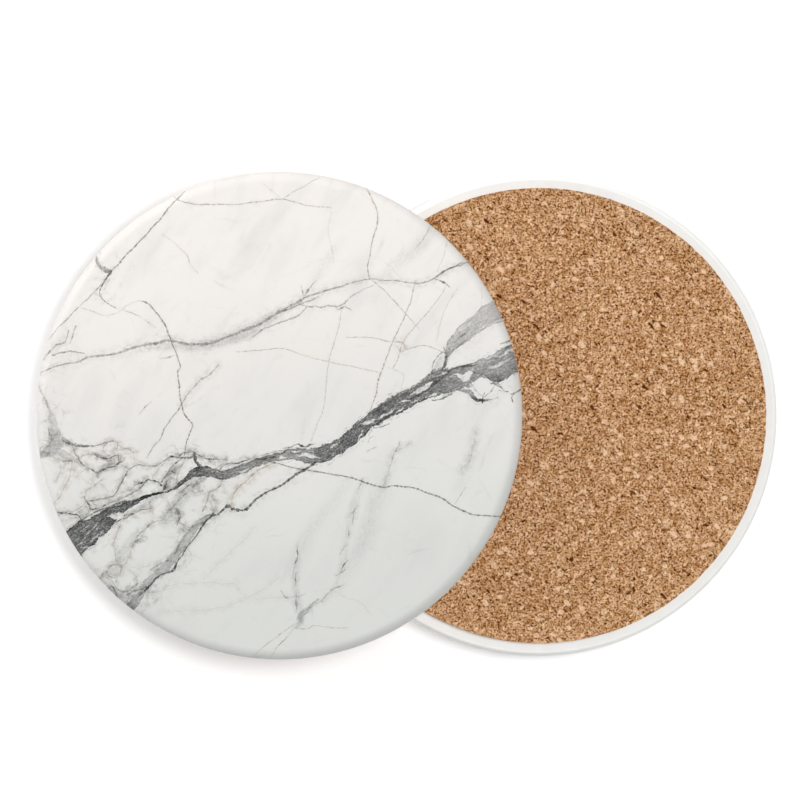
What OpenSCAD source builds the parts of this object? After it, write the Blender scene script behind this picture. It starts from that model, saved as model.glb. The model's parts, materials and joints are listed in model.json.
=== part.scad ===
// A pair of round ceramic drink coasters with a printed marble face and a cork base.
// The lower coaster lies face down, with its cork pad up. The upper one lies face up
// and is propped on it: one edge of its pad is on the table, and its underside leans
// on the rim of the lower pad.
// Origin: centre of the pair's outline, on the table. +Z is up, and +X runs from the
// upper coaster to the lower one.

/* [Ceramic disc] */
// Diameter of the disc, over its glaze
disc_d = 102; // [85:1:120]
// Thickness of the ceramic with its glaze
disc_h = 7; // [6:0.1:9]
// Radius of the shoulder round the printed face
shoulder_r = 2.2; // [1.2:0.1:3]
// Radius of the edge round the underside
foot_r = 0.8; // [0.4:0.1:1.2]
// Taper of the side wall, from the shoulder down to the foot
side_draft = 0.15; // [0:0.05:0.4]

/* [Printed glaze] */
// Thickness of the glaze
glaze_t = 0.3; // [0.2:0.05:0.5]
// Height of the glazed side, from the printed face down to the glaze line
glaze_drop = 4.6; // [3.5:0.1:5]

/* [Cork base] */
// Thickness of the cork pad
cork_t = 1.6; // [1:0.1:3]
// Width of the bare ring round the pad, from the disc's outline to the cork
cork_margin = 2.9; // [2:0.1:6]
// Thickness of the adhesive film between the cork and the ceramic
film_t = 0.1; // [0.05:0.01:0.2]

/* [Pair] */
// How far past the middle of the upper pad the rim of the lower pad holds it up
prop_past = 6.1; // [4:0.1:14]
// Gap left between the two pads where the upper one leans on the lower
prop_gap = 0.1; // [0.05:0.01:0.2]

/* [Hidden] */

$fn = 180;

// Half a turn, which lays the lower coaster on its face
half_turn = 180;

disc_r = disc_d / 2;
cork_r = disc_r - cork_margin;
base_h = cork_t + film_t;
coaster_h = base_h + disc_h;

// Distance along the table from the upper pad's low edge to the rim of the lower pad
prop_reach = cork_r + prop_past;

// The ceramic inside its glaze
body_r = disc_r - glaze_t;
body_h = disc_h - glaze_t;
body_shoulder_r = shoulder_r - glaze_t;

// Height of the glaze line over the underside of the ceramic. The glaze ends there in a
// bead, whose centre is on the ceramic's drafted side wall.
glaze_line_h = disc_h - glaze_drop;
bead_h = glaze_line_h + glaze_t;
wall_top_h = body_h - body_shoulder_r;
bead_x = body_r - side_draft * (wall_top_h - bead_h) / (wall_top_h - foot_r);

// The upper coaster leans by the angle of a line that starts at its pad's low edge and
// passes the rim of the lower pad with the gap between them.
lean = atan2(coaster_h, prop_reach) + asin(prop_gap / norm([prop_reach, coaster_h]));

// Places along X, measured from the upper pad's low edge
upper_from_edge = cork_r * cos(lean);
lower_from_edge = prop_reach + cork_r;

// The leaning disc reaches furthest out on its shoulder
upper_overhang = (disc_r - shoulder_r) * cos(lean)
    + (coaster_h - shoulder_r) * sin(lean) + shoulder_r;

// The pair's outline is centred on the origin
low_edge_x = -(upper_from_edge - upper_overhang + lower_from_edge + disc_r) / 2;
upper_x = low_edge_x + upper_from_edge;
upper_z = cork_r * sin(lean);
lower_x = low_edge_x + lower_from_edge;

// Half section of the pressed disc: a flat face with a round shoulder, a side wall that
// draws in towards the foot, and a rounded foot.
module disc_section(r, h, top_r, bottom_r, draft) {
    wall_top = [r, h - top_r];
    wall_bottom = [r - draft, bottom_r];
    translate([0, bottom_r]) square([r - top_r, h - bottom_r]);
    square([r - draft - bottom_r, h - top_r]);
    translate([r - top_r, h - top_r]) circle(r = top_r);
    translate([r - draft - bottom_r, bottom_r]) circle(r = bottom_r);
    polygon([
        [r - draft - bottom_r, bottom_r], wall_bottom, wall_top, [r - top_r, h - top_r]
    ]);
}

// Half section of the ceramic body, from its underside up
module body_section() {
    disc_section(body_r, body_h, body_shoulder_r, foot_r, side_draft);
}

// Half section of the glaze: an even coat over the face, the shoulder and the upper part
// of the side, which ends in a rounded bead at the glaze line.
module glaze_section() {
    difference() {
        union() {
            intersection() {
                disc_section(disc_r, disc_h, shoulder_r, foot_r, side_draft);
                translate([0, bead_h]) square([disc_r, disc_h - bead_h]);
            }
            intersection() {
                translate([bead_x, bead_h]) circle(r = glaze_t);
                translate([0, glaze_line_h]) square([disc_r, glaze_t]);
            }
        }
        body_section();
    }
}

// Pressed ceramic disc, white and unglazed under the cork
module ceramic_body() {
    color("whitesmoke")
        translate([0, 0, base_h]) rotate_extrude() body_section();
}

// Printed marble glaze, over the face and the upper part of the side
module printed_glaze() {
    color("gainsboro")
        translate([0, 0, base_h]) rotate_extrude() glaze_section();
}

// Double-sided adhesive film, cut together with the cork
module adhesive_film() {
    color("wheat")
        translate([0, 0, cork_t]) cylinder(r = cork_r, h = film_t);
}

// Pad punched from a sheet of bonded cork granules
module cork_pad() {
    color("peru") cylinder(r = cork_r, h = cork_t);
}

// Puts a piece of the upper coaster in place: face up, leaning on the lower one
module upper_place() {
    translate([upper_x, 0, upper_z]) rotate([0, -lean, 0]) children();
}

// Puts a piece of the lower coaster in place: face down on the table
module lower_place() {
    translate([lower_x, 0, coaster_h]) rotate([half_turn, 0, 0]) children();
}

lower_place() printed_glaze();  // lower_printed_glaze
lower_place() ceramic_body();  // lower_ceramic_body
lower_place() adhesive_film();  // lower_adhesive_film
lower_place() cork_pad();  // lower_cork_pad
upper_place() cork_pad();  // upper_cork_pad
upper_place() adhesive_film();  // upper_adhesive_film
upper_place() ceramic_body();  // upper_ceramic_body
upper_place() printed_glaze();  // upper_printed_glaze
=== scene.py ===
# %% [markdown]
# A pair of marble-print coasters
#
# The object is a pair of round ceramic drink coasters. Each one is a pressed ceramic disc with
# a marble pattern printed under its glaze, and a cork pad glued to the bare clay below. One
# lies face down, so that its cork shows, and the other lies face up and leans on its rim.
#
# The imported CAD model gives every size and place. This script only gives the pieces their
# finish: it turns finer meshes of the same shapes, prints the marble on them, grows the cork,
# and sets up the light and the camera. All lengths in the making are millimetres on the
# coaster's own axis, and the last step puts each piece in its place in metres.

import json
import math

import bmesh
import bpy
from mathutils import Matrix, Vector


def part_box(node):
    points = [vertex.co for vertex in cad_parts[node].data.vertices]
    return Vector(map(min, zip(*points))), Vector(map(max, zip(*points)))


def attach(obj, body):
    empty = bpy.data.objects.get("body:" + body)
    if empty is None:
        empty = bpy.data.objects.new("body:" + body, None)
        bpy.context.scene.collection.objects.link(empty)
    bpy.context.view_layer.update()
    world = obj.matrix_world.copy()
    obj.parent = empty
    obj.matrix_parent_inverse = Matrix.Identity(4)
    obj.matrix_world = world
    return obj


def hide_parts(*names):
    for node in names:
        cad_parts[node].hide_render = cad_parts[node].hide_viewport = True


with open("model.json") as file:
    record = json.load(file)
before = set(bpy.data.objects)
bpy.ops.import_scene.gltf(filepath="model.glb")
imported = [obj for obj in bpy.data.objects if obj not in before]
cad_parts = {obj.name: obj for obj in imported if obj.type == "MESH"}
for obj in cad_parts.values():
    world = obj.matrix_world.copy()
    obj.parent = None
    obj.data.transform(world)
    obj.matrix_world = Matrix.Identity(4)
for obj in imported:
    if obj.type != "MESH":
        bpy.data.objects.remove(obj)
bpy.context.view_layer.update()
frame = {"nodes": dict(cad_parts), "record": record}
METRE = 1000

# %% [markdown]
# Sizes of the coaster
#
# The lower coaster lies flat, so the boxes of its four pieces give the heights and radii of
# the layers. Only two small sizes don't show in a box: the radius of the shoulder, which is
# measured on the flat of the printed face, and the rounding of the foot.

# %% Measure the layers on the lower coaster
def layer(node):
    """Radius of a layer, and the heights of its lower and upper side, in millimetres."""
    low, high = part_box(node)
    middle = (low + high) / 2
    corners = frame["nodes"][node].data.vertices
    reach = max(math.hypot(v.co.x - middle.x, v.co.y - middle.y) for v in corners)
    return reach * METRE, low.z * METRE, high.z * METRE


glaze_r, face_z, glaze_line = layer("lower_printed_glaze")
body_r, glaze_t, body_back = layer("lower_ceramic_body")
film_r, film_front, film_back = layer("lower_adhesive_film")
cork_r, cork_front, cork_back = layer("lower_cork_pad")

glaze_mesh = frame["nodes"]["lower_printed_glaze"].data
middle = (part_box("lower_printed_glaze")[0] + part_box("lower_printed_glaze")[1]) / 2
on_face = [v.co - middle for v in glaze_mesh.vertices if v.co.z * METRE < face_z + 0.001]
flat_r = max(math.hypot(p.x, p.y) for p in on_face) * METRE
shoulder_r = glaze_r - flat_r
foot_r = 0.8
side_draft = 0.15
print(f"glaze {glaze_r:.2f}, ceramic {body_r:.2f}, cork {cork_r:.2f}, shoulder {shoulder_r:.2f}")

# %% [markdown]
# Places of the two coasters
#
# The two mounts of the record say where the printed faces are: the table rest is the face that
# lies on the table, and the cup seat is the face that is up. Each gives the middle of a face
# and the direction it looks in. That is all a round piece needs, apart from its turn about its
# own axis, which is free. The lower coaster is turned, so that the two prints differ.

# %% Put a coaster's own axis in the world
mounts = {mount["name"]: mount for mount in frame["record"]["mounts"]}


def face_place(mount, turn):
    """Matrix from a coaster's own millimetres, face at zero and looking up +Z, to the world."""
    out = Vector(mount["axis"]).normalized()
    right = Vector((0, 1, 0)).cross(out)
    axes = Matrix((right, out.cross(right), out)).transposed().to_4x4()
    spin = Matrix.Rotation(turn, 4, "Z")
    return Matrix.Translation(mount["pos_m"]) @ axes @ spin @ Matrix.Scale(1 / METRE, 4)


places = {
    "upper": face_place(mounts["cup_seat"], 0),
    "lower": face_place(mounts["table_rest"], math.radians(140)),
}
for name, place in places.items():
    print(name, "face at", [round(x, 4) for x in place.translation])

# %% [markdown]
# Helpers for node trees
#
# A pattern is mostly arithmetic, and arithmetic is easier to read as a formula than as a list
# of links. A Wire holds one output socket and turns plus, minus, times and so on into Math
# nodes. The same Math nodes exist in shader trees and in geometry trees, so it serves both.

# %% Feed a socket and put a node
def feed(socket, value):
    """Links a wire to an input socket, or sets the socket's own value."""
    if isinstance(value, Wire):
        socket.id_data.links.new(value.socket, socket)
    else:
        socket.default_value = value


def put(tree, kind, inputs=None, **settings):
    """Adds a node, sets its properties, then feeds its inputs by name or number."""
    node = tree.nodes.new(kind)
    for name, value in settings.items():
        setattr(node, name, value)
    for key, value in (inputs or {}).items():
        feed(node.inputs[key], value)
    return node


# %% A wire that does arithmetic
class Wire:
    """One output socket, which can be used in a formula."""

    def __init__(self, socket):
        self.socket = socket
        self.tree = socket.id_data

    def math(self, operation, *others, clamp=False):
        node = put(self.tree, "ShaderNodeMath", operation=operation, use_clamp=clamp)
        for number, value in enumerate((self, *others)):
            feed(node.inputs[number], value)
        return Wire(node.outputs[0])

    def vector(self, operation, *others, output=0):
        node = put(self.tree, "ShaderNodeVectorMath", operation=operation)
        for number, value in enumerate((self, *others)):
            feed(node.inputs[number], value)
        return Wire(node.outputs[output])

    def scaled(self, amount):
        node = put(self.tree, "ShaderNodeVectorMath", {0: self, "Scale": amount},
                   operation="SCALE")
        return Wire(node.outputs[0])

    def __add__(self, other):
        return self.math("ADD", other)

    def __sub__(self, other):
        return self.math("SUBTRACT", other)

    def __mul__(self, other):
        return self.math("MULTIPLY", other)

    def __truediv__(self, other):
        return self.math("DIVIDE", other)

    def __neg__(self):
        return self.math("MULTIPLY", -1)

    __radd__ = __add__
    __rmul__ = __mul__

    def __rsub__(self, other):
        return -self + other

    def __abs__(self):
        return self.math("ABSOLUTE")

    def power(self, exponent):
        return self.math("POWER", exponent)

    def larger(self, other):
        return self.math("MAXIMUM", other)

    def smaller(self, other):
        return self.math("MINIMUM", other)

    def clamped(self):
        return self.math("ADD", 0, clamp=True)

    def parts(self):
        node = put(self.tree, "ShaderNodeSeparateXYZ", {0: self})
        return tuple(Wire(output) for output in node.outputs)


def join(tree, x, y, z=0.0):
    """A vector wire made of three numbers or wires."""
    return Wire(put(tree, "ShaderNodeCombineXYZ", {0: x, 1: y, 2: z}).outputs[0])


# %% [markdown]
# Half sections
#
# Every layer is turned, as a potter's or a punch's work is, so its shape is one outline from
# the middle of the face that shows, round the edge, to the middle of the hidden side. The
# outlines repeat what the CAD model has, with finer arcs. A few extra points stand close to
# the ends of each arc: they keep the flats flat when the mesh is shaded smooth.

# %% Outlines of the four layers
def arc(centre, radius, start, end, count):
    """Points on an arc in the outline's plane, angles in degrees from +r towards +z."""
    steps = [math.radians(start + (end - start) * i / count) for i in range(count + 1)]
    return [(centre[0] + radius * math.cos(a), centre[1] + radius * math.sin(a)) for a in steps]


SHOULDER_STEPS = 12
WALL_SHARES = (0.1, 0.35, 0.65, 0.9)
BEAD_STEPS = 4
FOOT_STEPS = 10
SEAT_STEPS = 4
HIDDEN_STEPS = 6
wall_t = glaze_r - body_r
body_shoulder_r = shoulder_r - wall_t
glaze_end = -(glaze_line - face_z)
bead_z = glaze_end + wall_t
foot_z = -(body_back - foot_r)
draft_per_mm = side_draft / (-shoulder_r - foot_z)
bead_draft = draft_per_mm * (-shoulder_r - bead_z)
beside = 0.05

glaze_section = (
    [(flat_r, 0)]
    + arc((flat_r, -shoulder_r), shoulder_r, 90, 0, SHOULDER_STEPS)[1:]
    + [(glaze_r - bead_draft * share, -shoulder_r + (bead_z + shoulder_r) * share)
       for share in WALL_SHARES]
    + arc((body_r - bead_draft, bead_z), wall_t, 0, -90, BEAD_STEPS)
    + [(body_r, -shoulder_r)]
    + arc((flat_r, -shoulder_r), body_shoulder_r, 0, 90, SEAT_STEPS)[1:]
)
glaze_seen = 1 + SHOULDER_STEPS + len(WALL_SHARES) + BEAD_STEPS + 1
body_foot_x = body_r - side_draft - foot_r
body_section = (
    [(body_foot_x - beside, -body_back), (body_foot_x, -body_back)]
    + arc((body_foot_x, foot_z), foot_r, -90, 0, FOOT_STEPS)[1:]
    + [(body_r - side_draft * share, -shoulder_r + (foot_z + shoulder_r) * share)
       for share in (0.97, 0.6, 0.3, 0.03, 0)]
    + arc((flat_r, -shoulder_r), body_shoulder_r, 0, 90, HIDDEN_STEPS)[1:]
)
body_seen = len(body_section) - HIDDEN_STEPS
film_section = [(film_r, -film_back), (film_r, -film_front)]
cork_rim = 0.12
cork_section = (
    [(cork_r - cork_rim, -cork_back)]
    + arc((cork_r - cork_rim, -cork_back + cork_rim), cork_rim, -90, 0, 3)[1:]
    + [(cork_r, -cork_back + (cork_back - cork_front) * share)
       for share in (0.25, 0.4, 0.55, 0.7, 0.85, 1)]
)
print("outline points:", len(glaze_section), len(body_section), len(cork_section))

# %% [markdown]
# The turning tree
#
# A lathe in Geometry Nodes: the outline comes in as the points of a mesh, and a grid of
# vertices takes its radius and height from them, one row for each step of the turn. The face
# that shows needs an even net of small faces, since they carry the print and the cork's
# relief, and a disc of spokes would crowd them in the middle. So the face is a square
# grid, pushed out to a round one ring by ring, and its rim meets the turned part point for
# point. The tree also lays out a map of the piece: the seen face in the middle, its edge round
# it, and the hidden side in a corner.

# %% Parts of a geometry tree
def new_tree(name, sockets):
    """An empty geometry tree with named inputs. Gives the tree and its inputs as wires."""
    tree = bpy.data.node_groups.new(name, "GeometryNodeTree")
    tree.interface.new_socket("Geometry", in_out="OUTPUT", socket_type="NodeSocketGeometry")
    for label, kind in sockets:
        tree.interface.new_socket(label, in_out="INPUT", socket_type="NodeSocket" + kind)
    inputs = tree.nodes.new("NodeGroupInput")
    return tree, {label: Wire(inputs.outputs[label]) for label, kind in sockets}


def store(geometry, name, value, domain="POINT", kind="FLOAT_VECTOR"):
    """Keeps a value on the points, corners or faces of a mesh, under a name."""
    node = put(geometry.tree, "GeometryNodeStoreNamedAttribute", {
        "Geometry": geometry, "Name": name, "Value": value,
    }, data_type=kind, domain=domain)
    return Wire(node.outputs[0])


def kept(tree, name, kind="FLOAT"):
    """The value that is kept under a name on the geometry at hand."""
    node = put(tree, "GeometryNodeInputNamedAttribute", {"Name": name}, data_type=kind)
    return Wire(node.outputs[0])


def sample(geometry, value, index, kind="FLOAT_VECTOR"):
    """What a value is at one point of another geometry."""
    node = put(geometry.tree, "GeometryNodeSampleIndex", {
        "Geometry": geometry, "Value": value, "Index": index,
    }, data_type=kind)
    return Wire(node.outputs[0])


def move_to(geometry, position):
    """Moves the points of a mesh."""
    node = put(geometry.tree, "GeometryNodeSetPosition", {
        "Geometry": geometry, "Position": position,
    })
    return Wire(node.outputs[0])


def end_tree(tree, geometry, material):
    """Closes a tree with real geometry and its material."""
    real = put(tree, "GeometryNodeRealizeInstances", {"Geometry": geometry})
    painted = put(tree, "GeometryNodeSetMaterial", {
        "Geometry": Wire(real.outputs[0]), "Material": material,
    })
    output = tree.nodes.new("NodeGroupOutput")
    feed(output.inputs["Geometry"], Wire(painted.outputs[0]))


# %% Build the turning tree
RING_STEPS = 8
WELD = 0.002
MAP_MIDDLE = 0.5
MAP_SEEN = 0.485
MAP_HIDDEN = 0.497
CORNER_MIDDLE = 0.075
CORNER_R = 0.055


def face_part(tree, given, place):
    """The face that shows: a square grid, pushed out to a round one."""
    across = given["Face rings"] * 2 + 1
    grid = put(tree, "GeometryNodeMeshGrid", {
        "Size X": 2.0, "Size Y": 2.0, "Vertices X": across, "Vertices Y": across,
    })
    x, y, unused = place.parts()
    ring = abs(x).larger(abs(y))
    lean_x = (x / ring * (math.pi / 4)).math("TANGENT")
    lean_y = (y / ring * (math.pi / 4)).math("TANGENT")
    toward = join(tree, lean_x, lean_y).vector("NORMALIZE").scaled(ring)
    flat = toward.scaled(given["Face radius"])
    flat = flat.vector("ADD", join(tree, 0.0, 0.0, given["Face height"]))
    on_map = toward.scaled(given["Face in map"])
    on_map = on_map.vector("ADD", (MAP_MIDDLE, MAP_MIDDLE, 0))
    face = store(Wire(grid.outputs["Mesh"]), "OFBake", on_map, "CORNER", "FLOAT2")
    return move_to(face, flat)


def wall_part(tree, given, place, turns):
    """The outline, once for each step of the turn."""
    index = Wire(tree.nodes.new("GeometryNodeInputIndex").outputs[0])
    wall = put(tree, "GeometryNodeMeshGrid", {
        "Vertices X": turns + 1, "Vertices Y": given["Outline points"],
    })
    step = (index / given["Outline points"]).math("FLOOR")
    row = index - step * given["Outline points"]
    angle = step / turns * math.tau
    outline = put(tree, "GeometryNodeObjectInfo", {"Object": given["Outline"]})
    outline = Wire(outline.outputs["Geometry"])
    radius, unused, height = sample(outline, place, row).parts()
    in_map = sample(outline, kept(tree, "in_map"), row, "FLOAT")
    cosine = angle.math("COSINE")
    sine = angle.math("SINE")
    on_map = join(tree, cosine * in_map + MAP_MIDDLE, sine * in_map + MAP_MIDDLE)
    side = store(Wire(wall.outputs["Mesh"]), "OFBake", on_map, "CORNER", "FLOAT2")
    return move_to(side, join(tree, cosine * radius, sine * radius, height))


def back_part(tree, given, place, turns):
    """The hidden side: one flat round face."""
    cap = put(tree, "GeometryNodeMeshCircle", {
        "Vertices": turns, "Radius": given["Back radius"],
    }, fill_type="NGON")
    on_map = place.vector("NORMALIZE").scaled(CORNER_R)
    on_map = on_map.vector("ADD", (CORNER_MIDDLE, CORNER_MIDDLE, 0))
    back = store(Wire(cap.outputs["Mesh"]), "OFBake", on_map, "CORNER", "FLOAT2")
    return move_to(back, place.vector("ADD", join(tree, 0.0, 0.0, given["Back height"])))


def build_turning_tree():
    tree, given = new_tree("turned_disc", [
        ("Outline", "Object"), ("Outline points", "Int"), ("Face rings", "Int"),
        ("Face radius", "Float"), ("Face height", "Float"), ("Face in map", "Float"),
        ("Back radius", "Float"), ("Back height", "Float"), ("Material", "Material"),
    ])
    place = Wire(tree.nodes.new("GeometryNodeInputPosition").outputs[0])
    turns = given["Face rings"] * RING_STEPS
    face = face_part(tree, given, place)
    side = wall_part(tree, given, place, turns)
    back = back_part(tree, given, place, turns)
    joined = tree.nodes.new("GeometryNodeJoinGeometry")
    for part in (face, side, back):
        tree.links.new(part.socket, joined.inputs[0])
    merged = put(tree, "GeometryNodeMergeByDistance", {
        "Geometry": Wire(joined.outputs[0]), "Distance": WELD,
    })
    end_tree(tree, Wire(merged.outputs[0]), given["Material"])
    return tree


turning_tree = build_turning_tree()
print("turning tree:", len(turning_tree.nodes), "nodes")

# %% [markdown]
# From outline to piece
#
# The outline becomes a small helper mesh whose points carry their place on the map. A modifier
# runs the tree, the evaluated result is kept as a plain mesh, and the helper objects go. What
# is left is one closed mesh on the coaster's own axis.

# %% Turn a piece
CREASE = 40


def add_object(name, data):
    """A new object in the scene."""
    made = bpy.data.objects.new(name, data)
    bpy.context.scene.collection.objects.link(made)
    return made


def outline_object(section, face_r, seen):
    """The outline as loose points. Seen points share the map by length, hidden ones its rim."""
    lengths = [face_r]
    for (r0, z0), (r1, z1) in zip(section, section[1:]):
        lengths.append(lengths[-1] + math.hypot(r1 - r0, z1 - z0))
    seen_length = lengths[seen - 1]
    in_map = [MAP_SEEN * length / seen_length for length in lengths[:seen]]
    hidden = len(section) - seen
    in_map += [MAP_SEEN + (MAP_HIDDEN - MAP_SEEN) * (i + 1) / hidden for i in range(hidden)]
    mesh = bpy.data.meshes.new("outline")
    mesh.from_pydata([(r, 0, z) for r, z in section], [], [])
    mesh.attributes.new("in_map", "FLOAT", "POINT").data.foreach_set("value", in_map)
    return add_object("outline", mesh), in_map[0]


def add_tree(piece, tree, values):
    """Puts a geometry tree on a piece and sets its inputs by their identifiers."""
    modifier = piece.modifiers.new(tree.name, "NODES")
    modifier.node_group = tree
    for item in tree.interface.items_tree:
        if item.in_out == "INPUT" and item.name in values:
            modifier[item.identifier] = values[item.name]


def finish_mesh(piece, place):
    """Keeps the evaluated mesh, in place in metres, with faces out and its edges kept crisp."""
    graph = bpy.context.evaluated_depsgraph_get()
    mesh = bpy.data.meshes.new_from_object(piece.evaluated_get(graph), depsgraph=graph)
    piece.modifiers.clear()
    mesh.transform(place)
    work = bmesh.new()
    work.from_mesh(mesh)
    bmesh.ops.recalc_face_normals(work, faces=work.faces)
    open_edges = sum(1 for edge in work.edges if not edge.is_manifold)
    work.to_mesh(mesh)
    work.free()
    mesh.shade_smooth()
    mesh.set_sharp_from_angle(angle=math.radians(CREASE))
    mesh.name = piece.name
    piece.data = mesh
    count = sum(len(face.vertices) - 2 for face in mesh.polygons)
    print(f"{piece.name}: {count} triangles, {open_edges} open edges")


def turn(piece, section, seen, rings, material):
    """Adds the turning tree to a piece, with the outline of one layer."""
    face_r, face_height = section[0]
    helper, face_in_map = outline_object(section, face_r, seen)
    add_tree(piece, turning_tree, {
        "Outline": helper, "Outline points": len(section), "Face rings": rings,
        "Face radius": float(face_r), "Face height": float(face_height),
        "Face in map": face_in_map, "Back radius": float(section[-1][0]),
        "Back height": float(section[-1][1]), "Material": material,
    })
    return helper
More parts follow.
